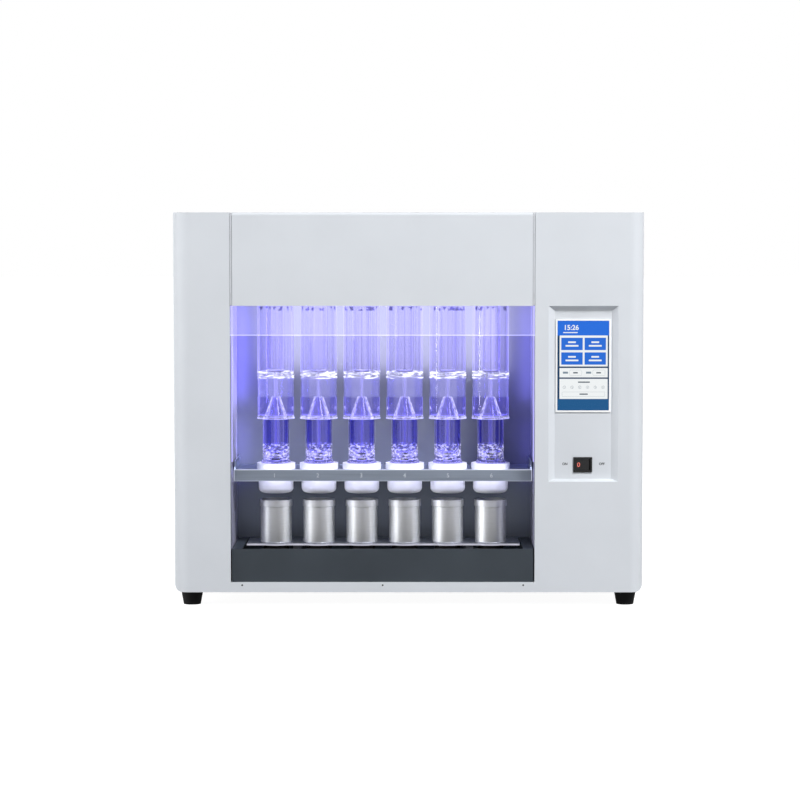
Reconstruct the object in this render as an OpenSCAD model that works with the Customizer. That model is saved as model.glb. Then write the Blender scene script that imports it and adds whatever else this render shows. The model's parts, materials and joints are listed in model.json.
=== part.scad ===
// Automatic fat analyzer: a bench instrument with six extraction stations.
// Sizes in millimetres. The floor is z = 0, the front faces -Y, +X is to the right seen from the front.

/* [Housing] */
// Depth of the housing from its front face to its rear edge
body_d = 440; // [420:1:500]
// Height of the housing without its feet
body_h = 638; // [632:1:680]
// Thickness of the housing's sheet metal
sheet_t = 2; // [1.5:0.1:2.5]
// Radius of the two upright front edges
edge_r = 25; // [15:1:32]
// Radius of the two bottom corners seen from the front
corner_r = 13; // [8:1:18]
// Width of the column on the left of the chamber
left_col_w = 96; // [80:1:110]
// Width of the column on the right of the chamber
right_col_w = 183; // [170:1:195]
// Height of the sill under the chamber
sill_h = 17; // [14:1:20]
// Distance of the rear panel in front of the rear edge
rear_recess = 20; // [18:1:26]

/* [Feet] */
// Height of a rubber foot
foot_h = 24; // [16:1:30]
// Diameter of a foot at its top
foot_top_d = 38; // [30:1:40]
// Diameter of a foot where it stands
foot_bottom_d = 29; // [24:1:34]
// Distance of a foot's centre from the side of the housing
foot_inset_x = 28; // [26:1:40]
// Distance of a foot's centre from the front and rear of the housing
foot_inset_y = 36; // [32:1:50]

/* [Lid] */
// Height of the lid's front apron
apron_h = 156; // [146:1:162]
// Gap between the lid and the columns beside it
lid_gap = 4; // [3:0.5:5]
// Depth of the fixed strip of the top behind the lid
rear_strip_d = 60; // [55:1:90]
// Outer radius of the bend between the lid's top and its apron
lid_bend_r = 5; // [4:0.5:8]
// Depth of the stiffening flanges along the lid's sides
lid_flange = 14; // [10:1:16]
// Outer diameter of a hinge barrel
barrel_d = 6; // [5:0.5:7]
// Diameter of a hinge pin
hinge_pin_d = 3; // [2.5:0.1:3.5]
// Distance of each hinge from the middle of the lid
hinge_offset = 180; // [120:1:200]

/* [Sash] */
// Thickness of the clear sash
sash_t = 5; // [4:0.5:6]
// Height of the clear sash
sash_h = 184; // [170:1:186]
// Height of the sash that shows below the lid's apron at rest
sash_show = 50; // [40:1:60]
// Distance of the sash behind the front face
sash_setback = 7.5; // [6:0.5:8]

/* [Chamber] */
// Depth of the chamber behind the front face
chamber_d = 175; // [170:1:190]
// Distance of the shelf's front lip behind the front face
shelf_setback = 40; // [36:1:48]
// Height of the shelf's top above the bottom of the housing
shelf_z = 201; // [196:1:208]
// Height of the shelf's front lip
shelf_lip = 20; // [16:1:24]
// Rise of the lip above the shelf's top
lip_rise = 3; // [2:0.5:5]
// Height of the heater tray's front
tray_h = 56; // [54:1:58]

/* [Stations] */
// Distance between neighbouring stations
pitch = 73.5; // [70:0.5:76]
// Distance of the outer stations' axes from the chamber's side walls
end_margin = 71.75; // [68:0.25:90]
// Distance of the stations' axes behind the front face
station_depth = 95; // [92:1:98]
// Diameter of a white seat flange
seat_d = 66; // [60:0.5:68]
// Thickness of a seat flange
seat_t = 10; // [8:0.5:12]
// Diameter of the vapour bore through a seat
seat_bore_d = 30; // [24:1:32]
// Diameter of a sealing bell
bell_d = 59.5; // [56:0.5:62]
// Radius of a bell's rounded lower edge
bell_r = 8.5; // [6:0.5:12]
// Outer diameter of an extraction tube
tube_d = 45.5; // [44:0.5:48]
// Height of an extraction tube
tube_h = 76; // [70:1:82]
// Diameter of an extraction tube's flared foot
tube_foot_d = 51; // [49:0.5:56]
// Outer diameter of the solvent bowls and the condenser jackets
bowl_d = 62; // [58:0.5:64]
// Height of a solvent bowl
bowl_h = 69; // [62:1:74]
// Wall of the glassware
glass_t = 2.4; // [1.8:0.1:3]
// Height of the room for caps and hoses above the condenser jackets
cap_room = 58; // [56:1:80]
// Outer diameter of a condenser's inner cooling tube
core_d = 32; // [26:1:36]
// Outer diameter of a drip tube
drip_d = 7; // [6:0.5:8]

/* [Cups] */
// Diameter of a cup
cup_d = 53; // [50:0.5:55]
// Height of a cup
cup_h = 74; // [70:1:76]
// Wall of a cup
cup_t = 1.3; // [1:0.1:2]
// Diameter of a cup's rolled rim
rim_d = 55.4; // [55.2:0.2:57]
// Height of a cup's rolled rim
rim_h = 11.5; // [8:0.5:14]

/* [Lift] */
// Height of the heating plate's top above the bottom of the housing
plate_z = 74; // [74:0.5:76]
// Thickness of the heating plate
plate_t = 3; // [2.5:0.5:5]
// Radius of the heating plate's bulge round each station
bulge_r = 30; // [28:0.5:32]
// Free travel of the heating plate between its lower and upper stop
lift_travel = 11.7; // [8:0.1:11.7]
// Diameter of a guide rod
rod_d = 12; // [10:1:14]
// Diameter of the lift screw
screw_d = 10; // [8:1:12]
// Width of the square lift motor
motor_w = 57; // [50:1:60]

/* [Control panel] */
// Width of the recess in the right column
recess_w = 117; // [112:1:122]
// Height of the recess
recess_h = 295; // [290:1:300]
// Depth of the recess
recess_depth = 9; // [7:0.5:11]
// Width of the display's frame
bezel_w = 92.5; // [90:0.5:94]
// Height of the display's frame
bezel_h = 156.5; // [150:0.5:160]
// Width of the frame's border round the screen
bezel_border = 2.9; // [2:0.1:4]
// Width of the power switch's flange
switch_w = 31.5; // [30:0.5:34]
// Height of the power switch's flange
switch_h = 25.5; // [25:0.5:28]
// Tilt of the rocker from its middle to either side
rocker_tilt = 8; // [5:0.5:8]

/* [Hidden] */
$fn = 96;
eps = 0.5;
stations = 6;
run_fit = 0.05;
seat_gap = 0.3;

// Faces of the housing
open_w = (stations - 1) * pitch + 2 * end_margin;
body_w = left_col_w + open_w + right_col_w;
left_x = -body_w / 2;
right_x = body_w / 2;
front_y = -body_d / 2;
back_y = body_d / 2;
bottom_z = foot_h;
top_z = foot_h + body_h;
under_top_z = top_z - sheet_t;
floor_z = bottom_z + sheet_t;

// Chamber between the two columns
open_l = left_x + left_col_w;
open_r = right_x - right_col_w;
open_cx = (open_l + open_r) / 2;
sill_z = bottom_z + sill_h;
sill_return = 24;
wall_y = front_y + chamber_d;
wall_back_y = wall_y + sheet_t;
wall_top_z = under_top_z - lid_flange - 2;

// Rear panel
rear_y = back_y - rear_recess;
rear_flange = 16;

// Fasteners
foot_bolt_d = 6;
foot_bolt_head_d = 11;
foot_bolt_head_z = 3;
foot_bolt_head_h = 4;
weld_nut_d = 14;
weld_nut_h = 6;
sill_screw_d = 3;
sill_screw_len = 8;
sill_screw_inset = 19;
sill_screw_drop = 5;
rear_screw_d = 4;
rear_screw_head_d = 8;
rear_screw_head_h = 2.5;
rear_screw_inset = 9;
rear_screw_end = 40;
rear_screw_rows = 4;

// Rear panel's openings
vent_count = 14;
vent_w = 60;
vent_h = 5;
vent_pitch = 12;
vent_inset = 60;
left_vent_z = bottom_z + 120;
right_vent_z = bottom_z + 220;
rear_margin = 0.2;
inlet_x = right_x - 95;
inlet_z = bottom_z + 70;
inlet_w = 47;
inlet_h = 27;

// Lid and its hinges
apron_z = top_z - apron_h;
lid_back_y = back_y - rear_strip_d;
lid_d = lid_back_y - front_y;
barrel_gap = 0.4;
hinge_y = lid_back_y + barrel_d / 2 + barrel_gap;
hinge_z = top_z - barrel_d / 2;
strip_y = hinge_y + barrel_d / 2 + barrel_gap;
knuckle_len = 20;
leaf_len = 26;
leaf_t = 2;
leaf_low_z = barrel_d / 2 - sheet_t - leaf_t;

// Sash and its guides
sash_z = apron_z - sash_show;
sash_y = front_y + sash_setback;
guide_d = 16;
guide_w = 13;
guide_end_y = front_y + sheet_t + guide_d;
sash_in_guide = 9;
sash_fit = 0.3;
stop_w = 9;
stop_fit = 0.4;

// Station stack, from the shelf up and from the shelf down
shelf_top_z = bottom_z + shelf_z;
shelf_under_z = shelf_top_z - sheet_t;
station_y = front_y + station_depth;
seat_top_z = shelf_top_z + seat_t;
tube_top_z = seat_top_z + tube_h;
bowl_top_z = tube_top_z + bowl_h;
jacket_top_z = top_z - cap_room;
jacket_h = jacket_top_z - bowl_top_z;
collar_h = 12;
bowl_floor_t = 6;
cone_h = 31;
cone_base_d = 37;
cone_top_d = 15;
core_z = bowl_top_z + 10;
drip_bottom_z = seat_top_z + 28;
nib_h = 4;
cap_h = 30;
cap_roof_t = 12;
cap_neck_h = 8;
cap_plug_h = 8;
spigot_d = 45;
spigot_h = 22;
plate_top_z = bottom_z + plate_z;
cup_top_z = plate_top_z + cup_h;
bell_z = cup_top_z + lift_travel + seat_gap;

// Water circuit behind the condensers
barb_d = 8;
water_z = [jacket_top_z + 6, jacket_top_z + 24];
manifold_d = 12;
manifold_y = wall_y - 17;
pipe_x = [open_r - 20, open_r - 60];
drain_d = 6;
drain_z = tube_top_z + bowl_floor_t + 6;

// Lift in the rear compartment
arm_w = 14;
arm_x = [open_cx - 2 * pitch, open_cx + 2 * pitch];
arm_z = bottom_z + 38;
arm_h = 18;
arm_front_y = station_y - 20;
plate_back_y = wall_y - 17;
plate_front_y = station_y - 25;
tray_gap = 2;
tray_return_w = 17;
plate_gap = 3.5;
plate_w = open_w - 2 * (tray_gap + tray_return_w + plate_gap);
carriage_y = wall_back_y + 51;
carriage_t = 26;
carriage_h = 60;
carriage_z = arm_z - 12;
rod_y = carriage_y + carriage_t / 2;
rod_offset = 100;
rod_x = [open_cx - rod_offset, open_cx + rod_offset];
bush_wall = 4;
nut_d = 22;
block_w = 2 * rod_offset + 60;
block_h = 18;
bracket_z = carriage_z + carriage_h + lift_travel + 36;
bracket_t = 8;
screw_bottom_z = floor_z + 6;
screw_in_motor = 30;

// Control panel in the right column
recess_gap = 7.5;
recess_cx = open_r + guide_w + recess_gap + sheet_t + recess_w / 2;
recess_top_z = apron_z;
recess_z = recess_top_z - recess_h;
recess_side = 11;
recess_top_slope = 8;
recess_foot_slope = 4;
panel_y = front_y + recess_depth;
bezel_drop = 14;
bezel_z = recess_top_z - recess_top_slope - bezel_drop - bezel_h;
bezel_t = 2;
screen_w = bezel_w - 2 * bezel_border;
module_d = 15;
switch_z = recess_z + 28;
switch_body_w = switch_w - 3.5;
switch_body_h = switch_h - 2.5;
switch_wall_x = 1;
switch_wall_z = 1.7;
rocker_y = panel_y + 5;
rocker_pin_d = 3;
board_gap = 10;
board_y = panel_y + module_d + board_gap;
board_w = 94;
board_low_z = bezel_z - 12;
board_high_z = bezel_z + bezel_h + 10;

function station_x(i) = open_cx + (i - (stations - 1) / 2) * pitch;

// Shared shapes

module at_stations() {
    for (i = [0 : stations - 1])
        translate([station_x(i), station_y, 0])
            children();
}

// A box given by its lowest and highest corners
module box(low, high) {
    translate(low)
        cube(high - low);
}

// A tube that stands on z = 0
module tube(outer_d, inner_d, h) {
    difference() {
        cylinder(d = outer_d, h = h);
        translate([0, 0, -eps])
            cylinder(d = inner_d, h = h + 2 * eps);
    }
}

// A cylinder that runs along +Y from the origin
module bar_along_y(d, h) {
    rotate([-90, 0, 0])
        cylinder(d = d, h = h);
}

// Half section of a body of revolution whose lower outer edge is rounded
module rounded_foot_section(r, h, fillet) {
    translate([0, fillet])
        square([r, h - fillet]);
    square([r - fillet, h]);
    intersection() {
        translate([r - fillet, fillet])
            circle(fillet);
        square([r, h]);
    }
}

// Plan of the housing, with round front edges, drawn in from its faces by an inset
module plan_outline(inset) {
    translate([left_x + inset, front_y + edge_r])
        square([body_w - 2 * inset, body_d - edge_r + eps]);
    translate([left_x + edge_r, front_y + inset])
        square([body_w - 2 * edge_r, edge_r + eps]);
    for (side = [-1, 1])
        translate([side * (body_w / 2 - edge_r), front_y + edge_r])
            circle(edge_r - inset);
}

// Front view of the housing, with round bottom corners, drawn in by an inset
module front_outline(inset) {
    translate([left_x + inset, bottom_z + corner_r])
        square([body_w - 2 * inset, body_h]);
    translate([left_x + corner_r, bottom_z + inset])
        square([body_w - 2 * corner_r, body_h]);
    for (side = [-1, 1])
        translate([side * (body_w / 2 - corner_r), bottom_z + corner_r])
            circle(corner_r - inset);
}

// The housing's block: its plan and its front view cut from each other
module housing_block(inset, low_y, high_y) {
    intersection() {
        linear_extrude(height = under_top_z)
            plan_outline(inset);
        translate([0, high_y, 0])
            rotate([90, 0, 0])
                linear_extrude(height = high_y - low_y)
                    front_outline(inset);
    }
}

// The housing's skin between two places along X, open at the top, the rear and the floor
module housing_skin(low_x, high_x) {
    difference() {
        intersection() {
            housing_block(0, front_y, back_y);
            box([low_x, front_y - 1, bottom_z - 1], [high_x, back_y, under_top_z]);
        }
        intersection() {
            translate([0, 0, 1])
                housing_block(sheet_t, front_y, back_y + 1);
            box([low_x - 1, front_y, bottom_z], [high_x + 1, back_y + 1, top_z + 1]);
        }
        housing_block(sheet_t, front_y, back_y + 1);
        pan_floor(bottom_z - 1);
    }
}

// The flat floor between the round bottom corners, from a height up to the pan's top
module pan_floor(low_z) {
    intersection() {
        translate([0, 0, low_z])
            linear_extrude(height = floor_z - low_z)
                plan_outline(sheet_t);
        box([left_x + corner_r, front_y, low_z], [right_x - corner_r, back_y, floor_z]);
    }
}

// Strip that a rear screw goes into, on the inside of a side cover
module rear_mounting_strip(low_x) {
    box([low_x, rear_y - 2 * sheet_t, bottom_z + corner_r],
        [low_x + rear_flange, rear_y - sheet_t, under_top_z]);
}

// Housing

module base_pan() {
    color("gainsboro")
    difference() {
        union() {
            pan_floor(bottom_z);
            box([open_l, front_y, bottom_z], [open_r, front_y + sheet_t, sill_z]);
            box([open_l, front_y, sill_z - sheet_t], [open_r, front_y + sill_return, sill_z]);
            box([open_l, front_y, bottom_z], [open_r, front_y + sill_return, floor_z]);
            at_feet(floor_z)
                cylinder(d = weld_nut_d, h = weld_nut_h);
        }
        at_feet(bottom_z - 1)
            cylinder(d = foot_bolt_d + 2 * run_fit, h = sheet_t + weld_nut_h + 2);
        at_sill_screws()
            bar_along_y(sill_screw_d + 2 * run_fit, sheet_t + 2);
    }
}

module left_cover() {
    color("gainsboro") {
        housing_skin(left_x - 1, open_l);
        rear_mounting_strip(left_x + sheet_t);
    }
}

// The hollow of the control panel's recess, grown by a wall for the sheet behind it
module recess_hollow(wall) {
    half = recess_w / 2;
    half_floor = half - recess_side;
    deep = recess_depth + wall;
    intersection() {
        translate([recess_cx, front_y, recess_z - wall])
            linear_extrude(height = recess_h + 2 * wall)
                polygon([[-half - wall, 0], [half + wall, 0],
                         [half_floor + wall, deep], [-half_floor - wall, deep]]);
        translate([recess_cx - half - wall, front_y, 0])
            rotate([90, 0, 90])
                linear_extrude(height = recess_w + 2 * wall)
                    polygon([[0, recess_z - wall], [deep, recess_z + recess_foot_slope - wall],
                             [deep, recess_top_z - recess_top_slope + wall], [0, recess_top_z + wall]]);
    }
}

module right_cover() {
    color("gainsboro")
    difference() {
        union() {
            housing_skin(open_r, right_x + 1);
            recess_hollow(sheet_t);
            rear_mounting_strip(right_x - sheet_t - rear_flange);
        }
        recess_hollow(0);
        mouth = 0.1;
        box([recess_cx - recess_w / 2, front_y - mouth, recess_z],
            [recess_cx + recess_w / 2, front_y, recess_top_z]);
        box([recess_cx - screen_w / 2, panel_y - 1, bezel_z + bezel_border],
            [recess_cx + screen_w / 2, panel_y + sheet_t + 1, bezel_z + bezel_h - bezel_border]);
        box([recess_cx - switch_body_w / 2, panel_y - 1, switch_z - switch_body_h / 2],
            [recess_cx + switch_body_w / 2, panel_y + sheet_t + 1, switch_z + switch_body_h / 2]);
    }
}

module top_cover() {
    color("gainsboro")
    translate([0, 0, under_top_z])
        linear_extrude(height = sheet_t)
            difference() {
                intersection() {
                    plan_outline(0);
                    translate([left_x, front_y])
                        square([body_w, body_d]);
                }
                translate([open_l, front_y - 1])
                    square([open_w, strip_y - front_y + 1]);
            }
}

module vents(low_x, low_z) {
    for (i = [0 : vent_count - 1])
        translate([low_x, rear_y - sheet_t - 1, low_z + i * vent_pitch])
            cube([vent_w, sheet_t + 2, vent_h]);
}

module rear_panel() {
    color("gainsboro")
    difference() {
        intersection() {
            housing_block(sheet_t + rear_margin, rear_y - sheet_t, rear_y);
            box([left_x, rear_y - sheet_t, floor_z], [right_x, rear_y, under_top_z]);
        }
        vents(left_x + vent_inset, left_vent_z);
        vents(right_x - vent_inset - vent_w, right_vent_z);
        box([inlet_x - inlet_w / 2, rear_y - sheet_t - 1, inlet_z - inlet_h / 2],
            [inlet_x + inlet_w / 2, rear_y + 1, inlet_z + inlet_h / 2]);
        for (i = [0 : 1])
            translate([pipe_x[i], rear_y - sheet_t - 1, water_z[i]])
                bar_along_y(manifold_d + 1, sheet_t + 2);
        at_rear_screws()
            translate([0, -sheet_t - 1, 0])
                bar_along_y(rear_screw_d + 2 * run_fit, sheet_t + 2);
    }
}

// Feet and fasteners

module at_feet(z) {
    for (x = [left_x + foot_inset_x, right_x - foot_inset_x],
         y = [front_y + foot_inset_y, back_y - foot_inset_y])
        translate([x, y, z])
            children();
}

module feet() {
    color([0.08, 0.08, 0.09])
    at_feet(0)
        difference() {
            cylinder(d1 = foot_bottom_d, d2 = foot_top_d, h = foot_h);
            translate([0, 0, -1])
                cylinder(d = foot_bolt_head_d + 2, h = foot_bolt_head_z + foot_bolt_head_h + 1);
            translate([0, 0, -1])
                cylinder(d = foot_bolt_d + 2 * run_fit, h = foot_h + 2);
        }
}

module foot_screws() {
    color("silver")
    at_feet(foot_bolt_head_z) {
        cylinder(d = foot_bolt_head_d, h = foot_bolt_head_h, $fn = 6);
        cylinder(d = foot_bolt_d, h = foot_h - foot_bolt_head_z + sheet_t + weld_nut_h - 1);
    }
}

module at_sill_screws() {
    for (x = [open_l + sill_screw_inset, open_cx, open_r - sill_screw_inset])
        translate([x, front_y - 1, sill_z - sill_screw_drop])
            children();
}

module sill_screws() {
    color("silver")
    at_sill_screws()
        translate([0, 1, 0])
            bar_along_y(sill_screw_d, sill_screw_len);
}

module at_rear_screws() {
    row_pitch = (body_h - 2 * rear_screw_end) / (rear_screw_rows - 1);
    for (x = [left_x + sheet_t + rear_screw_inset, right_x - sheet_t - rear_screw_inset],
         i = [0 : rear_screw_rows - 1])
        translate([x, rear_y, bottom_z + rear_screw_end + i * row_pitch])
            children();
}

module rear_screws() {
    color("silver")
    at_rear_screws() {
        bar_along_y(rear_screw_head_d, rear_screw_head_h);
        translate([0, -sheet_t, 0])
            bar_along_y(rear_screw_d, sheet_t);
    }
}

// Chamber

module chamber_back_wall() {
    slot_w = arm_w + 4;
    slot_z = [arm_z - 3, arm_z + arm_h + lift_travel + 3];
    color("darkgray")
    difference() {
        box([open_l, wall_y, floor_z], [open_r, wall_back_y, wall_top_z]);
        for (x = arm_x)
            box([x - slot_w / 2, wall_y - 1, slot_z[0]], [x + slot_w / 2, wall_back_y + 1, slot_z[1]]);
        for (i = [0 : stations - 1])
            translate([station_x(i), wall_y - 1, drain_z])
                bar_along_y(drain_d + 2, sheet_t + 2);
        for (i = [0 : 1])
            translate([pipe_x[i], wall_y - 1, water_z[i]])
                bar_along_y(manifold_d + 1, sheet_t + 2);
    }
}

module chamber_side_walls() {
    color("darkgray")
    for (side = [0, 1]) {
        inner_x = side == 0 ? open_l : open_r;
        outer_x = side == 0 ? open_l - sheet_t : open_r + sheet_t;
        flange_x = side == 0 ? open_l - guide_w : open_r + guide_w;
        low_x = min(inner_x, outer_x);
        box([low_x, guide_end_y, floor_z], [low_x + sheet_t, wall_back_y, wall_top_z]);
        box([min(inner_x, flange_x), guide_end_y, floor_z],
            [max(inner_x, flange_x), guide_end_y + sheet_t, wall_top_z]);
    }
}

// Channels for the sash, each with a lip that the lid's apron closes against
module sash_guides() {
    slot_low_y = sash_y - sash_fit;
    slot_high_y = sash_y + sash_t + sash_fit;
    slot_depth = sash_in_guide + 2;
    color("silver")
    for (side = [0, 1])
        translate([side == 0 ? open_l : open_r, 0, 0])
            mirror([side, 0, 0])
                difference() {
                    union() {
                        box([-guide_w, front_y + sheet_t, sill_z], [0, guide_end_y, wall_top_z]);
                        box([-1, front_y + sheet_t + stop_fit, apron_z + stop_fit],
                            [stop_w, slot_low_y, top_z - lid_bend_r - 1]);
                    }
                    box([-slot_depth, slot_low_y, sill_z - 1], [stop_w + 1, slot_high_y, wall_top_z + 1]);
                }
}

module shelf() {
    side_gap = 3;
    side_flange_h = 16;
    side_flange_setback = 12;
    rear_flange_h = 14;
    lip_top_z = shelf_top_z + lip_rise;
    low_x = open_l + side_gap;
    high_x = open_r - side_gap;
    low_y = front_y + shelf_setback;
    color("slategray")
    difference() {
        union() {
            box([low_x, low_y, shelf_under_z], [high_x, wall_y, shelf_top_z]);
            box([low_x, low_y, lip_top_z - shelf_lip], [high_x, low_y + sheet_t, lip_top_z]);
            box([low_x, wall_y - sheet_t, shelf_top_z - rear_flange_h], [high_x, wall_y, shelf_top_z]);
            for (x = [low_x, high_x - sheet_t])
                box([x, low_y + side_flange_setback, shelf_under_z],
                    [x + sheet_t, wall_y, shelf_top_z + side_flange_h]);
        }
        at_stations()
            translate([0, 0, shelf_under_z - 1])
                cylinder(d = spigot_d + 1, h = sheet_t + 2);
    }
}

// A light strip up each side wall and a light bar across, hidden behind the lid's apron
module led_strips() {
    strip_w = 8;
    strip_t = 2;
    strip_low_z = shelf_top_z + 17;
    strip_low_y = guide_end_y + 8;
    bar_w = 16;
    bar_t = 4;
    bar_low_y = guide_end_y + 4;
    bar_low_z = apron_z + 8;
    color("lavender") {
        for (x = [open_l, open_r - strip_t])
            box([x, strip_low_y, strip_low_z], [x + strip_t, strip_low_y + strip_w, wall_top_z]);
        box([open_l + strip_t, bar_low_y, bar_low_z],
            [open_r - strip_t, bar_low_y + bar_w, bar_low_z + bar_t]);
    }
}

// Extraction stations

module seat_flanges() {
    color("white")
    at_stations()
        difference() {
            union() {
                translate([0, 0, shelf_top_z])
                    cylinder(d = seat_d, h = seat_t);
                translate([0, 0, shelf_top_z - spigot_h])
                    cylinder(d = spigot_d, h = spigot_h + 1);
            }
            translate([0, 0, shelf_top_z - spigot_h - 1])
                cylinder(d = seat_bore_d, h = spigot_h + seat_t + 2);
        }
}

module seal_bells() {
    bell_h = shelf_under_z - bell_z;
    color("white")
    at_stations()
        translate([0, 0, bell_z])
            difference() {
                rotate_extrude()
                    rounded_foot_section(bell_d / 2, bell_h, bell_r);
                translate([0, 0, -1])
                    cylinder(d = seat_bore_d, h = bell_h + 2);
                translate([0, 0, shelf_top_z - spigot_h - bell_z - seat_gap])
                    cylinder(d = spigot_d + 2 * run_fit, h = spigot_h + seat_gap);
            }
}

// A straight glass tube on a flared foot, with a round inner floor and an outlet
module extraction_tubes() {
    flare_h = 3;
    outlet_d = 16;
    inner_r = tube_d / 2 - glass_t;
    floor_h = inner_r + 7;
    color([0.8, 0.82, 1, 0.4])
    at_stations()
        translate([0, 0, seat_top_z])
            rotate_extrude()
                difference() {
                    union() {
                        square([tube_d / 2, tube_h]);
                        polygon([[0, 0], [tube_foot_d / 2, 0], [tube_foot_d / 2, flare_h / 2],
                                 [tube_d / 2, flare_h * 2], [0, flare_h * 2]]);
                    }
                    translate([0, floor_h])
                        square([inner_r, tube_h]);
                    translate([0, floor_h])
                        intersection() {
                            circle(inner_r);
                            translate([0, -inner_r])
                                square([inner_r, inner_r + 1]);
                        }
                    translate([0, -1])
                        square([outlet_d / 2, floor_h]);
                }
}

// A wide bowl on the tube, with a vapour cone that rises from its floor
module solvent_bowls() {
    r = bowl_d / 2;
    throat_r = cone_base_d / 2 - glass_t;
    foot_lip = 1.2;
    foot_lip_h = 3;
    color([0.8, 0.82, 1, 0.4])
    at_stations()
        translate([0, 0, tube_top_z])
            rotate_extrude() {
                difference() {
                    union() {
                        square([r, bowl_h]);
                        square([r + foot_lip, foot_lip_h]);
                    }
                    translate([0, bowl_floor_t])
                        square([r - glass_t, bowl_h]);
                    translate([0, -1])
                        square([throat_r, bowl_floor_t + 2]);
                }
                polygon([[throat_r, bowl_floor_t - 1], [cone_base_d / 2, bowl_floor_t - 1],
                         [cone_base_d / 2, bowl_floor_t], [cone_top_d / 2, bowl_floor_t + cone_h],
                         [cone_top_d / 2 - glass_t, bowl_floor_t + cone_h], [throat_r, bowl_floor_t]]);
            }
}

module condenser_jackets() {
    collar_t = 0.8;
    color([0.8, 0.82, 1, 0.4])
    at_stations()
        translate([0, 0, bowl_top_z])
            difference() {
                union() {
                    cylinder(d = bowl_d, h = jacket_h);
                    cylinder(d = bowl_d + 2 * collar_t, h = collar_h);
                }
                translate([0, 0, -1])
                    cylinder(d = bowl_d - 2 * glass_t, h = jacket_h + 2);
            }
}

// A closed cooling tube with a round tip that the condensate drips from
module condenser_cores() {
    core_top_z = jacket_top_z + cap_h - cap_roof_t;
    core_h = core_top_z - core_z;
    tip_r = 6;
    color([0.85, 0.87, 1, 0.4])
    at_stations()
        translate([0, 0, core_z])
            difference() {
                union() {
                    rotate_extrude()
                        rounded_foot_section(core_d / 2, core_h, tip_r);
                    translate([0, 0, -nib_h])
                        cylinder(d = drip_d + 2, h = nib_h + 1);
                }
                translate([0, 0, glass_t])
                    rotate_extrude()
                        rounded_foot_section(core_d / 2 - glass_t, core_h, tip_r - glass_t);
            }
}

module drip_tubes() {
    bore_d = drip_d - 3;
    color([0.85, 0.87, 1, 0.5])
    at_stations()
        translate([0, 0, drip_bottom_z])
            tube(drip_d, bore_d, core_z - nib_h - drip_bottom_z);
}

module condenser_caps() {
    plug_d = bowl_d - 2 * glass_t - 2 * seat_gap;
    barb_len = 12;
    neck_d = 20;
    port_d = 10;
    color("whitesmoke")
    at_stations()
        translate([0, 0, jacket_top_z])
            difference() {
                union() {
                    cylinder(d = bowl_d + 4, h = cap_h);
                    translate([0, 0, -cap_plug_h])
                        cylinder(d = plug_d, h = cap_plug_h + 1);
                    translate([0, 0, cap_h - 1])
                        cylinder(d = neck_d, h = cap_neck_h + 1);
                    for (z = water_z)
                        translate([0, bowl_d / 2 - 2, z - jacket_top_z])
                            bar_along_y(barb_d, barb_len + 2);
                }
                translate([0, 0, -cap_plug_h - 1])
                    cylinder(d = core_d + 2 * seat_gap, h = cap_plug_h + cap_h - cap_roof_t + 1);
                translate([0, 0, -cap_plug_h])
                    cylinder(d = port_d, h = cap_plug_h + cap_h + cap_neck_h + 1);
            }
}

module condenser_rail() {
    rail_z = jacket_top_z - 44;
    rail_front_y = station_y - 42;
    lip = 14;
    color("darkgray")
    difference() {
        union() {
            box([open_l, rail_front_y, rail_z], [open_r, wall_y, rail_z + sheet_t]);
            box([open_l, rail_front_y, rail_z], [open_r, rail_front_y + sheet_t, rail_z + lip]);
        }
        at_stations()
            translate([0, 0, rail_z - 1])
                cylinder(d = bowl_d + 2 * seat_gap, h = sheet_t + 2);
    }
}

module water_manifolds() {
    end = 24;
    stub_len = 18;
    color("silver")
    for (k = [0 : 1]) {
        translate([open_l + end, manifold_y, water_z[k]])
            rotate([0, 90, 0])
                cylinder(d = manifold_d, h = pipe_x[k] + manifold_d / 2 - open_l - end);
        translate([pipe_x[k], manifold_y, water_z[k]])
            bar_along_y(manifold_d, rear_y - sheet_t - manifold_y);
        for (i = [0 : stations - 1])
            translate([station_x(i), manifold_y - stub_len, water_z[k]])
                bar_along_y(barb_d, stub_len);
    }
}

module coolant_hoses() {
    hose_wall = 2;
    low_y = station_y + bowl_d / 2 + 2 + seat_gap;
    high_y = manifold_y - manifold_d / 2 - seat_gap;
    color("lightblue")
    for (i = [0 : stations - 1], z = water_z)
        translate([station_x(i), low_y, z])
            rotate([-90, 0, 0])
                tube(barb_d + 2 * hose_wall + 2 * run_fit, barb_d + 2 * run_fit, high_y - low_y);
}

module drain_tubes() {
    low_y = station_y + bowl_d / 2 + seat_gap;
    bore_d = drain_d - 2.5;
    color("white")
    for (i = [0 : stations - 1])
        translate([station_x(i), low_y, drain_z])
            rotate([-90, 0, 0])
                tube(drain_d, bore_d, wall_back_y - low_y);
}

module recovery_valves() {
    body_half = 14;
    body_len = 26;
    coil_len = 34;
    coil_d = 24;
    outlet_len = 12;
    color("dimgray")
    for (i = [0 : stations - 1]) {
        x = station_x(i);
        box([x - body_half, wall_back_y, drain_z - body_half],
            [x + body_half, wall_back_y + body_len, drain_z + body_half]);
        translate([x, wall_back_y + body_len - 1, drain_z])
            bar_along_y(coil_d, coil_len + 1);
        translate([x, wall_back_y + body_len / 2, drain_z - body_half - outlet_len])
            cylinder(d = barb_d, h = outlet_len + 1);
    }
}

// Heater tray under the cups

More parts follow.
